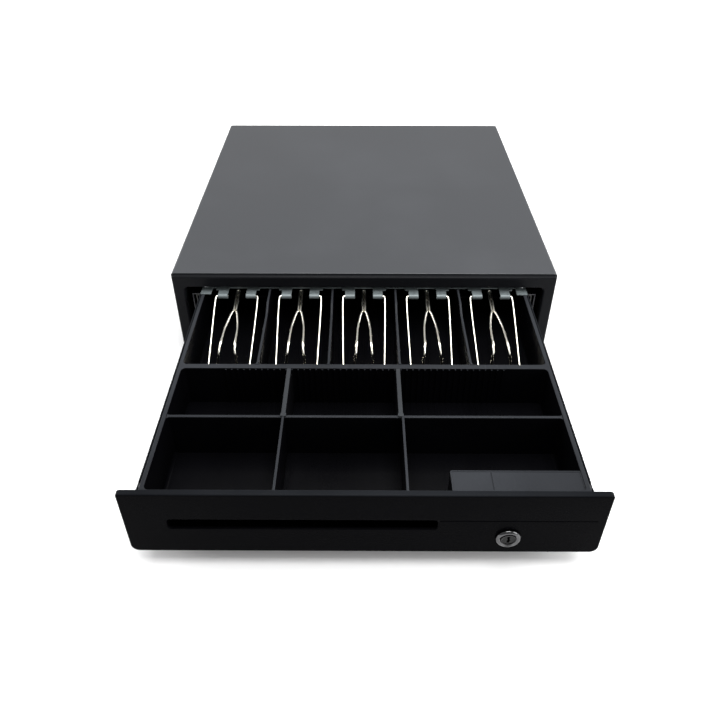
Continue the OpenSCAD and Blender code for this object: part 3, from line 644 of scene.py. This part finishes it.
def make_housing_screws():
    back = high("top_cover").y
    make_screws("cover_screw_set", "cover_screws", corners("cover_screws", 3.2, back, 1), "+y",
                3.2, 1.6, 1.6, 8.0)
    floor = low("latch_bracket").z + 1.5
    make_screws("latch_screw_set", "latch_screws", corners("latch_screws", 3.0, floor), "+z",
                3.0, 1.6, 1.5, 3.5)
    seat = 4.0
    make_screws("foot_screw_set", "foot_screws", corners("foot_screws", 4.0, seat), "-z",
                4.0, 2.0, 1.9, 10.0)


def helix(turns, radius, length, steps=20):
    """Points of a coil along +w, starting at w = 0, with closed end turns."""
    out = []
    for i in range(int(turns * steps) + 1):
        t = i / (turns * steps)
        dead = 0.8 / turns
        rise = min(max((t - dead) / (1 - 2 * dead), 0.0), 1.0) * 0.94 + 0.03 * min(t / dead, 1.0) \
            + 0.03 * max(0.0, (t - 1 + dead) / dead)
        a = 2 * math.pi * turns * t
        out.append((radius * math.cos(a), radius * math.sin(a), rise * length))
    return out


def make_springs():
    lo, hi = low("kick_spring"), high("kick_spring")
    wire, radius = 0.8, (hi.x - lo.x) / 2 - 0.8
    middle = (lo + hi) / 2
    skin = Skin(lambda x, y, z: (middle.x + x, hi.y - wire - z, middle.z + y))
    skin.tube(helix(14, radius, hi.y - lo.y - 2 * wire), wire, 10)
    spring = skin.piece("kick_spring_coil", "kick_spring", sharp=60)
    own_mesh(spring)

    lo, hi = low("latch_return_spring"), high("latch_return_spring")
    wire, radius = 0.5, (hi.x - lo.x) / 2 - 0.5
    centre = (lo + hi) / 2
    skin = Skin(lambda x, y, z: (centre.x + x, centre.y + y, lo.z + wire + z))
    skin.tube(helix(6, radius, hi.z - lo.z - 2 * wire), wire, 10)
    spring = skin.piece("latch_spring_coil", "latch_return_spring", sharp=60)
    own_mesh(spring)

    leaf = soften("switch_leaf", 0.1)
    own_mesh(leaf)


def make_coil():
    """The solenoid's winding: rows of wire between the two cheeks of a bobbin."""
    lo, hi = low("solenoid_coil"), high("solenoid_coil")
    centre = (lo + hi) / 2
    r, h = (hi.x - lo.x) / 2, hi.z - lo.z
    rows, cheek = 26, 1.2
    pitch = (h - 2 * cheek) / rows
    profile = [(4.95, 0.0), (r, 0.0), (r, cheek)]
    for k in range(rows):
        z = cheek + pitch * k
        profile += [(r - 1.3, z), (r - 0.85, z + pitch * 0.2), (r - 0.7, z + pitch * 0.5),
                    (r - 0.85, z + pitch * 0.8)]
    profile += [(r, h - cheek), (r, h), (4.95, h), (4.95, 0.0)]
    skin = Skin(in_row)
    skin.lathe((centre.x, centre.y, lo.z), profile, sides=48)
    return skin.piece("solenoid_winding", "solenoid_coil", sharp=50)


def make_balls():
    """Smooth bearing balls at the places of the CAD ones."""
    for side in ("left", "right"):
        lo, hi = low(side + "_balls"), high(side + "_balls")
        r = (hi.x - lo.x) / 2
        skin = Skin(in_row)
        profile = [(r * math.sin(math.pi * k / 12), -r * math.cos(math.pi * k / 12)) for k in range(13)]
        profile[0], profile[-1] = (0.0, -r), (0.0, r)
        for k in range(7):
            for z in (lo.z + r, hi.z - r):
                skin.lathe((lo.x + r, lo.y + r + (hi.y - lo.y - 2 * r) * k / 6, z), profile, sides=20)
        skin.piece(side + "_ball_set", side + "_balls", sharp=60)


# ---------------------------------------------------------------- drawer

def make_front_panel():
    """The pressed front: rounded edges, rolled slot, sunk crease, lock hole and return flange."""
    lo, hi = low("front_panel"), high("front_panel")
    body_lo, body_hi = low("lock_body"), high("lock_body")
    lock_x, lock_z = (body_lo.x + body_hi.x) / 2, (body_lo.z + body_hi.z) / 2
    flange = hi.y - lo.y
    bend = 1.6
    skin = Skin(lambda x, z, d: in_drawer(x, d, z))

    def outline(d):
        return round_rect(lo.x + d, hi.x - d, lo.z + d, hi.z - d,
                          max(7.0 - d, 0.5), max(3.0 - d, 0.5), steps=8)

    slot_low, slot_high = hi.z - 41.0, hi.z - 30.0
    slot = round_rect(-154.0, 57.0, slot_low, slot_high, 2.5, steps=6)
    crease = round_rect(58.6, 181.2, slot_high - 0.85, slot_high - 0.05, 0.38, steps=3)
    hole = circle(lock_x, lock_z, 8.9, 40)

    edge = []
    for a in quarter(5):
        edge.append(skin.ring(outline(bend * (1 - math.sin(a))), bend * (1 - math.cos(a))))
    edge += [skin.ring(outline(0.0), flange - 0.2), skin.ring(outline(0.2), flange),
             skin.ring(outline(SHEET - 0.2), flange), skin.ring(outline(SHEET), flange - 0.2),
             skin.ring(outline(SHEET), SHEET + 0.5), skin.ring(outline(SHEET + 0.5), SHEET)]
    skin.join(edge)

    lips = []
    lip = 0.9
    for a in quarter(4):
        lips.append(skin.ring(inset(slot, -lip * (1 - math.sin(a))), lip * (1 - math.cos(a))))
    lips += [skin.ring(slot, SHEET + 0.9), skin.ring(inset(slot, -0.35), SHEET + 0.9),
             skin.ring(inset(slot, -0.35), SHEET)]
    skin.join(lips)
    bore = [skin.ring(inset(hole, -0.15), 0.0), skin.ring(hole, 0.15), skin.ring(hole, SHEET)]
    skin.join(bore)
    groove = [skin.ring(inset(crease, -0.25), 0.0), skin.ring(crease, 0.12),
              skin.ring(inset(crease, 0.25), 0.42)]
    skin.join(groove)
    skin.cap(groove[-1])
    skin.fill([edge[0], lips[0], bore[0], groove[0]])
    skin.fill([edge[-1], lips[-1], bore[-1]])
    return skin.piece("front_panel_pressing", "front_panel")


def make_lock():
    """Rim cylinder: turned bezel, plug with its keyway, barrel with a thread."""
    lo, hi = low("lock_body"), high("lock_body")
    x, z = (lo.x + hi.x) / 2, (lo.z + hi.z) / 2
    proud = FACE_Y - lo.y
    skin = Skin(in_row)
    r = (hi.x - lo.x) / 2
    profile = [(6.25, 20.0), (6.25, -proud + 1.0), (6.4, -proud + 0.75), (7.3, -proud + 0.35), (7.9, -proud),
               (8.3, -proud + 0.08), (8.8, -proud + 0.3), (9.3, -proud + 0.65), (9.7, -proud + 1.1),
               (r - 0.08, -proud + 1.5), (r, -proud + 1.9), (r, -0.9),
               (r - 0.25, -0.25), (r - 0.4, 0.0), (8.8, 0.0)]
    t = 1.2
    while t < 18.6:
        profile += [(8.8, t), (8.45, t + 0.35), (8.8, t + 0.7)]
        t += 1.0
    profile += [(8.8, 19.6), (8.4, 20.0), (6.25, 20.0)]
    skin.lathe((x, FACE_Y, z), profile, "y", 64)
    skin.piece("lock_cylinder", "lock_body", sharp=40)

    lo, hi = low("lock_plug"), high("lock_plug")
    front, back = lo.y - FACE_Y, hi.y - FACE_Y
    skin = Skin(lambda u, v, w: (x + u, FACE_Y + w, z + v))
    r = 6.2
    sides = 48
    shank = 20.2
    turned = ((4.9, front + 0.55), (5.2, front + 0.2), (5.5, front), (r - 0.3, front), (r, front + 0.3),
              (r, shank))
    rings = [skin.ring(circle(0, 0, radius, sides), level) for radius, level in turned]
    skin.join(rings)
    skin.cap(rings[-1])
    a, b = 0.9, 3.5
    c = 1.7
    keyway = [(a, -b), (a, -c), (1.5, -c + 0.4), (1.5, -0.6), (a, -0.2), (a, b), (-a, b),
              (-a, 1.0), (-0.4, 0.6), (-0.4, -0.4), (-a, -0.8), (-a, -b)]
    keyway = round_corners(keyway, 0.25, 2)
    mouth = skin.ring(inset(keyway, -0.25), front + 0.55)
    throat = skin.ring(keyway, front + 0.85)
    deep = skin.ring(keyway, front + 9.0)
    skin.join([mouth, throat, deep])
    skin.cap(deep)
    skin.fill([rings[0], mouth])
    nose = round_rect(-3, 3, -3, 3, 0.3, steps=2)
    skin.block(nose, shank - 1.0, back, 0.2)
    skin.piece("lock_plug_turned", "lock_plug", sharp=35)


def chute_shift(x, d, z, near, span_x, top, slope):
    """Moves the till's front wall back below the media slot, so that a cheque slides under the till."""
    return d + (top - z) * slope if d < near and span_x[0] < x < span_x[1] and z < top else d


def wall_outline(u0, u1, v, thick, flare, stops=()):
    """A wall along u with hollow fillets at both ends, for Skin.block. Long sides mirror each other."""
    t = thick / 2
    low_side = []
    for k in range(5):
        a = math.radians(90 * k / 4)
        low_side.append(Vector((u0 + flare * (1 - math.cos(a)), v - t - flare * (1 - math.sin(a)))))
    low_side += [Vector((s, v - t)) for s in stops]
    for k in range(5):
        a = math.radians(90 * k / 4)
        low_side.append(Vector((u1 - flare * (1 - math.sin(a)), v - t - flare * (1 - math.cos(a)))))
    return low_side + [Vector((p.x, 2 * v - p.y)) for p in reversed(low_side)]


TILL_HALF, TILL_WALL = 169.4, 2.5
FRONT_CUPS, CROSS, BACK_ROW, PARTITION, WELLS, TILL_BACK = 8.3, 85.5, 88.6, 147.0, 153.0, 320.0
TILL_TOP, WELL_FLOOR, FRONT_FLOOR, TILL_UNDER = 86.8, 43.0, 40.5, 38.0
WELL_PITCH = 66.8
CLIP_PITCH = (low("bill_clip_5").x - low("bill_clip_1").x) / 4
WALLS_TOP, FIN_TOP = 84.5, 90.2
PIVOT_D, PIVOT_Z = 263.5, 85.2      # the clips' axis, behind the drawer's face and above the row
PLATE_SCREW_X, PLATE_SCREW_D = 170.0, 279.0
CLIP_WIRE_R = 1.2
CROSS_TOP = 85.6
FRONT_WALLS = (-69.6, 33.0)
RIB_PITCH, RIB_START = 5.6, -69.6
BLOCK_X, BLOCK_BACK, BLOCK_TOP = 67.0, 28.6, 86.0


def well_wall_rise(p):
    """Height of a wall between two wells above its lowest level: a ramp up to the hinge plate."""
    d = p.y
    full = TILL_TOP - WALLS_TOP
    fin = FIN_TOP - WALLS_TOP
    knots = [(150.0, full), (155.5, full), (159.0, 0.0), (231.0, 0.0), (247.0, fin), (270.8, fin),
             (271.5, full), (330.0, full)]
    for (d0, h0), (d1, h1) in zip(knots, knots[1:]):
        if d <= d1:
            return h0 + (h1 - h0) * max(0.0, min(1.0, (d - d0) / (d1 - d0)))
    return full


def make_till():
    """The one-piece moulded tray."""
    out = TILL_HALF + TILL_WALL
    front, back = FRONT_CUPS - TILL_WALL, TILL_BACK + TILL_WALL
    slot_out, slot_in = (-157.5, 60.5), (-160.0, 63.0)
    skin = Skin(lambda x, d, z: in_drawer(x, chute_shift(x, d, z, 8.0, slot_out, 63.5, 0.706), z))

    # the outside: rolled rim, walls, and the underside of the trays
    lip = round_rect(-out - 1.3, out + 1.3, front, back + 1.3, 2.5, steps=4)
    shell = round_rect(-out, out, front, back, 1.5, steps=4)
    notch = []
    for s in slot_out:
        notch += [Vector((s - 0.01, front)), Vector((s + 0.01, front))]
    lip[5:5] = [p.copy() for p in notch]
    shell[5:5] = notch
    rings = []
    for a in quarter(4):
        rings.append(skin.ring(inset(lip, 0.8 * (1 - math.sin(a))), TILL_TOP - 0.8 * (1 - math.cos(a))))
    rings += [skin.ring(lip, TILL_TOP - 2.3), skin.ring(inset(lip, 0.2), TILL_TOP - 2.5),
              skin.ring(shell, TILL_TOP - 2.5), skin.ring(shell, 63.5), skin.ring(shell, TILL_UNDER)]
    skin.join(rings)
    skin.cap(rings[-1])

    # the wells, and the two rows of coin cups
    well = round_rect(-TILL_HALF, TILL_HALF, WELLS, TILL_BACK, 4.0)
    wells_rim = skin.pocket(well, TILL_TOP, WELL_FLOOR, 0.7, 3.0)
    skin.to = lambda x, d, z: in_drawer(x, chute_shift(x, d, z, 12.5, slot_in, 67.5, 0.712), z)
    cups = round_rect(-TILL_HALF, TILL_HALF, FRONT_CUPS, PARTITION, 4.0)
    cups[7:7] = [Vector((s + e, FRONT_CUPS)) for s in slot_in for e in (-0.01, 0.01)]
    cups_rim = skin.pocket(cups, TILL_TOP, FRONT_FLOOR, 0.7, 3.0, levels=(67.5,))
    skin.fill([rings[0], wells_rim, cups_rim])

    # skirts that carry the tray on the pan's floor
    skin.to = in_drawer
    foot = low("drawer_pan").z + SHEET
    for s in (-1, 1):
        x = sorted((s * TILL_HALF, s * (out - 0.05)))
        skin.block(round_rect(x[0], x[1], front + 0.1, back - 0.05, 0.4, steps=2),
                   foot, TILL_UNDER + 1, 0.1, 0.3)
    skin.block(round_rect(-out + 0.3, out - 0.3, TILL_BACK, back - 0.05, 0.4, steps=2),
               foot, TILL_UNDER + 1, 0.1, 0.3)

    # walls between the wells
    skin.to = lambda d, x, z: in_drawer(x, d, z)
    stops = (159.0, 180.0, 205.0, 231.0, 235.0, 239.0, 243.0, 247.0, 258.0, 270.8, 271.5, 290.0)
    for x in (-1.5, -0.5, 0.5, 1.5):
        outline = wall_outline(WELLS - 0.3, TILL_BACK + 0.3, x * WELL_PITCH, 2.5, 2.0, stops)
        skin.block(outline, WELL_FLOOR - 1, WALLS_TOP, 0.8,
                   top=lambda p: well_wall_rise(Vector((0, p.x))))

    # cross wall, back row's raised floor, walls of the front row
    skin.to = in_drawer
    outline = wall_outline(-TILL_HALF - 0.3, TILL_HALF + 0.3, (CROSS + BACK_ROW) / 2, BACK_ROW - CROSS, 2.5,
                           [x for x in range(-150, 151, 50)])
    skin.block(outline, FRONT_FLOOR - 1, CROSS_TOP, 0.9, top=lambda p: 0.0)
    skin.block(round_rect(-TILL_HALF - 0.5, TILL_HALF + 0.5, CROSS + 1, PARTITION + 0.5, 1.0, steps=2),
               FRONT_FLOOR - 0.5, WELL_FLOOR, 0.3)
    skin.to = lambda d, z, x: in_drawer(x, d, z)
    for x in FRONT_WALLS:
        side = [(26.0, FRONT_FLOOR - 1), (CROSS + 1, FRONT_FLOOR - 1), (CROSS + 1, TILL_TOP - 0.1),
                (FRONT_CUPS - 1.2, TILL_TOP - 0.1), (FRONT_CUPS - 1.2, 67.5)]
        skin.block([Vector(p) for p in side], x - 1.1, x + 1.1, 0.45, 0.45)

    # raised block over the lock, with a rounded border and the joint line across its top
    skin.to = in_drawer
    block = round_rect(BLOCK_X, TILL_HALF + 0.6, FRONT_CUPS - 0.8, BLOCK_BACK, 1.6, steps=4)
    rings = [skin.ring(block, FRONT_FLOOR - 1)]
    border = 1.3
    for a in quarter(4):
        rings.append(skin.ring(inset(block, 0.6 * (1 - math.cos(a))), BLOCK_TOP - 0.6 + 0.6 * math.sin(a)))
    rings += [skin.ring(inset(block, border), BLOCK_TOP),
              skin.ring(inset(block, border + 0.3), BLOCK_TOP - 0.35)]
    skin.join(rings)
    skin.cap(rings[0])
    line_x = 99.0
    line = round_rect(line_x - 0.3, line_x + 0.3, FRONT_CUPS + 1.2, BLOCK_BACK - 2.2, 0.25, steps=2)
    seam = [skin.ring(inset(line, -0.15), BLOCK_TOP - 0.35), skin.ring(line, BLOCK_TOP - 0.5),
            skin.ring(inset(line, 0.12), BLOCK_TOP - 0.75)]
    skin.join(seam)
    skin.cap(seam[-1])
    skin.fill([rings[-1], seam[0]])

    # ribs for the loose dividers: on the partition, and low ones along the floor
    for k in range(-11, 36):
        x = RIB_START + (k + 0.5) * RIB_PITCH
        rib = [(x - 0.75, PARTITION + 0.3), (x - 0.45, PARTITION - 1.15), (x + 0.45, PARTITION - 1.15),
               (x + 0.75, PARTITION + 0.3)]
        rib = [Vector(p) for p in rib]
        skin.block(rib, WELL_FLOOR - 0.2, TILL_TOP - 1.0, 0.25, steps=2)
        skin.block(round_rect(x - 0.6, x + 0.6, BACK_ROW + 3, PARTITION - 0.5, 0.4, steps=2),
                   WELL_FLOOR - 0.2, WELL_FLOOR + 0.45, 0.25, steps=2)

    # low runners on the floors of the wells, which keep notes from sticking
    for x in (-2, -1, 0, 1, 2):
        for off in (-18.0, 0.0, 18.0):
            c = x * WELL_PITCH + off
            skin.block(round_rect(c - 0.7, c + 0.7, WELLS + 14, TILL_BACK - 20, 0.6, steps=3),
                       WELL_FLOOR - 0.2, WELL_FLOOR + 0.5, 0.35, steps=2)
    return skin.piece("till_moulding", "till", sharp=35)


def make_dividers():
    """Loose plates: rounded edges, and an end that hooks over the cross wall."""
    for i in (1, 2):
        node = f"coin_divider_{i}"
        lo, hi = low(node), high(node)
        x, half = (lo.x + hi.x) / 2, (hi.x - lo.x) / 2
        d0, d1, hook = lo.y - FACE_Y, hi.y - FACE_Y, BACK_ROW + 0.2
        side = [(hook, lo.z), (d1, lo.z), (d1, hi.z), (d0, hi.z), (d0, CROSS_TOP + 0.2),
                (hook, CROSS_TOP + 0.2)]
        skin = Skin(lambda d, z, w, x=x: in_drawer(x + w, d, z))
        skin.block(round_corners(side, 1.0, 3), -half, half, 0.7, 0.7)
        skin.to = in_drawer
        skin.block(round_rect(x - half - 0.6, x + half + 0.6, d0 + 0.1, d0 + 4.2, 1.0, steps=3),
                   CROSS_TOP + 0.25, hi.z - 0.2, 0.5, 0.2)
        skin.block(round_rect(x - half - 0.7, x + half + 0.7, d1 - 3.2, d1 - 1.4, 0.5, steps=3),
                   lo.z + 4, hi.z - 6, 0.4, 0.4)
        skin.piece(f"coin_divider_{i}_plate", node)


# ---------------------------------------------------------------- hinge plate and clips

def make_hinge_plate():
    """The zinc strip over the wells: notches, feet, and curled tabs that hold the clips."""
    z0, z1 = TILL_TOP, TILL_TOP + SHEET
    clip = [i * CLIP_PITCH for i in range(-2, 3)]
    web, web_back, shoulder = 275.5, 292.0, 271.5
    outline = [(-174.0, 264.0), (-162.7, 264.0), (-162.7, web)]
    tab_in, tab_out, neck = 9.6, 20.0, 23.6
    for c in clip:
        outline += [(c - neck, web), (c - neck, shoulder), (c - tab_out, shoulder), (c - tab_out, PIVOT_D),
                    (c - tab_in, PIVOT_D), (c - tab_in, web), (c + tab_in, web), (c + tab_in, PIVOT_D),
                    (c + tab_out, PIVOT_D), (c + tab_out, shoulder), (c + neck, shoulder), (c + neck, web)]
    outline += [(162.7, web), (162.7, 264.0), (174.0, 264.0), (174.0, web_back), (-174.0, web_back)]
    skin = Skin()
    outline = round_corners(outline, 0.8, 3)
    rings = [skin.ring(outline, z0), skin.ring(outline, z1 - 0.2), skin.ring(inset(outline, 0.2), z1)]
    skin.join(rings)
    skin.fill([rings[0]])
    holes = []
    for s in (-1, 1):
        holes.append(skin.ring(circle(s * PLATE_SCREW_X, PLATE_SCREW_D, 1.9, 20), z1))
        skin.join([holes[-1], skin.ring(circle(s * PLATE_SCREW_X, PLATE_SCREW_D, 1.9, 20), z0 + 0.1)])
    ridge = round_rect(-158.0, 158.0, 283.0, 286.6, 1.75, steps=4)
    lower = [skin.ring(ridge, z1), skin.ring(inset(ridge, 0.5), z1 + 0.35),
             skin.ring(inset(ridge, 1.1), z1 + 0.5)]
    skin.join(lower)
    skin.cap(lower[-1])
    skin.fill([rings[-1], *holes, lower[0]])
    outer_r = z1 - PIVOT_Z
    inner_r = outer_r - SHEET
    band = arc(PIVOT_D, PIVOT_Z, outer_r, 86, 318, 22) + arc(PIVOT_D, PIVOT_Z, inner_r, 318, 86, 22)
    skin.to = lambda d, z, x: in_drawer(x, d, z)
    for c in clip:
        for x0, x1 in ((c - tab_out, c - tab_in), (c + tab_in, c + tab_out)):
            rings = [skin.ring(inset(band, 0.18), x0), skin.ring(band, x0 + 0.18),
                     skin.ring(band, x1 - 0.18), skin.ring(inset(band, 0.18), x1)]
            skin.join(rings)
            for ring in (rings[0], rings[-1]):
                skin.strip_cap(ring)
    return skin.piece("hinge_plate_strip", "hinge_plate", sharp=40)


CLIP_HALF = (  # from a pivot end to the end of the double rod: across, behind the pivot, above it
    (10.7, 0.0, 0.0), (14.5, 0.0, 0.0), (18.8, 0.0, 0.0), (21.0, -0.2, -0.05), (22.1, -1.8, -0.6),
    (22.3, -12.0, -4.8), (21.8, -37.5, -15.2), (21.2, -57.5, -23.4), (20.6, -79.5, -32.4),
    (20.1, -93.0, -37.8), (18.5, -98.2, -39.9), (15.5, -100.0, -40.6), (11.9, -98.0, -39.8),
    (9.5, -90.0, -35.0), (9.2, -82.5, -23.2), (7.5, -73.5, -9.8), (6.3, -46.0, -7.6),
    (4.5, -31.5, -6.5), (2.5, -21.5, -5.6), (1.35, -17.5, -5.4), (1.35, -2.0, -3.0), (1.35, 10.4, -1.0))


def make_clips():
    """Each clip is one bent wire: two arms, the loops on the notes, and the double rod in the middle."""
    bend = [(1.0, 11.5, -0.85), (0.0, 12.0, -0.8)]
    half = list(CLIP_HALF) + bend
    other = [(-x, y, z) for x, y, z in reversed(half[:-1])]
    points = smooth(half + other, 7)
    for i in range(1, 6):
        node = f"bill_clip_{i}"
        x = (low(node).x + high(node).x) / 2
        skin = Skin(lambda u, v, w, x=x: in_drawer(x + u, PIVOT_D + v, PIVOT_Z + w))
        skin.tube(points, CLIP_WIRE_R, 14)
        skin.piece(f"bill_clip_{i}_wire", node, sharp=60)


def make_plate_screws():
    z = high("hinge_plate").z
    centres = [(s * PLATE_SCREW_X, FACE_Y + PLATE_SCREW_D, z) for s in (-1, 1)]
    make_screws("hinge_screw_pair", "hinge_plate_screws", centres, "+z", 3.6, 1.4, 1.5, 4.0)


# ---------------------------------------------------------------- studio

WORLD_LIGHT = (0.45, 0.6)           # light from in front of the drawer, and from behind it


def area_light(name, place, target, size, power, colour=(1, 1, 1)):
    data = bpy.data.lights.new(name, "AREA")
    data.shape = "RECTANGLE"
    data.size, data.size_y = size
    data.energy = power
    data.color = colour
    light = bpy.data.objects.new(name, data)
    light.location = place
    light.rotation_euler = (Vector(target) - Vector(place)).to_track_quat("-Z", "Y").to_euler()
    bpy.context.scene.collection.objects.link(light)


def make_studio():
    scene = bpy.context.scene
    world = bpy.data.worlds.new("studio")
    world.use_nodes = True
    tree = world.node_tree
    background = tree.nodes["Background"]
    direction = tree.nodes.new("ShaderNodeTexCoord")
    split = tree.nodes.new("ShaderNodeSeparateXYZ")
    ramp = tree.nodes.new("ShaderNodeMapRange")
    ramp.interpolation_type = "SMOOTHSTEP"
    for key, value in zip(("From Min", "From Max", "To Min", "To Max"), (-0.7, 0.8, *WORLD_LIGHT)):
        ramp.inputs[key].default_value = value
    tree.links.new(direction.outputs["Generated"], split.inputs["Vector"])
    tree.links.new(split.outputs["Y"], ramp.inputs["Value"])
    tree.links.new(ramp.outputs["Result"], background.inputs["Strength"])
    background.inputs["Color"].default_value = (1.0, 1.0, 1.0, 1.0)
    scene.world = world
    scene.view_settings.view_transform = "Standard"

    g = Graph("pale_floor")
    tint = g.noise(3.0, 2.0)
    g.paint(g.blend(g.ranged(tint, 0.0, 1.0), (0.93, 0.93, 0.93), (0.95, 0.95, 0.95)),
            g.ranged(tint, 0.9, 1.0), g.relief(tint, 0.0002, 0.1), 0.0, 0.0)
    bm = bmesh.new()
    bmesh.ops.create_grid(bm, x_segments=8, y_segments=8, size=6.0)
    mesh = bpy.data.meshes.new("floor")
    bm.to_mesh(mesh)
    bm.free()
    mesh.materials.append(g.material)
    floor = bpy.data.objects.new("floor", mesh)
    floor.location.z = -0.0002
    scene.collection.objects.link(floor)

    area_light("overhead_softbox", (0.1, -0.2, 1.6), (0.0, -0.2, 0.0), (1.5, 1.0), 40.0)
    for side in (-1, 1):
        area_light(f"backdrop_wash_{side + 2}", (side * 2.6, 1.7, 1.3), (side * 0.7, 1.7, 0.0),
                   (0.8, 2.0), 42.0)
    area_light("right_key", (1.22, -0.74, 0.62), (0.05, -0.25, 0.05), (0.8, 0.8), 11.0)


def make_camera():
    """The photographer stood in front of the drawer and looked down at it."""
    data = bpy.data.cameras.new("camera")
    data.sensor_width = 36.0
    data.lens = 34.196
    data.shift_x, data.shift_y = 0.0025, -0.0798
    data.clip_start, data.clip_end = 0.01, 50.0
    camera = bpy.data.objects.new("camera", data)
    camera.location = (-0.003364, -0.668681, 0.510101)
    look_down = 0.6319
    camera.rotation_euler = (math.pi / 2 - look_down, 0.0, 0.0046)
    bpy.context.scene.collection.objects.link(camera)
    bpy.context.scene.camera = camera


make_camera()
make_studio()
make_top_cover()
make_front_frame()
make_foot_row()
make_housing_screws()
make_springs()
make_coil()
make_balls()
make_front_panel()
make_lock()
make_till()
make_dividers()
make_hinge_plate()
make_clips()
make_plate_screws()
for plain in ("base_pan", "rear_panel", "left_rail_bracket", "right_rail_bracket", "left_outer_rail",
              "right_outer_rail", "housing_rail_screws", "lock_catch", "latch_bracket", "latch_pivot_pin",
              "solenoid_frame", "kick_spring_guide", "drawer_switch", "cable_socket", "latch_lever",
              "solenoid_plunger", "left_ball_cage", "right_ball_cage", "drawer_pan", "panel_brackets",
              "left_inner_rail", "right_inner_rail", "drawer_rail_screws", "striker", "lock_nut", "lock_cam",
              "lock_cam_screw"):
    soften(plain)
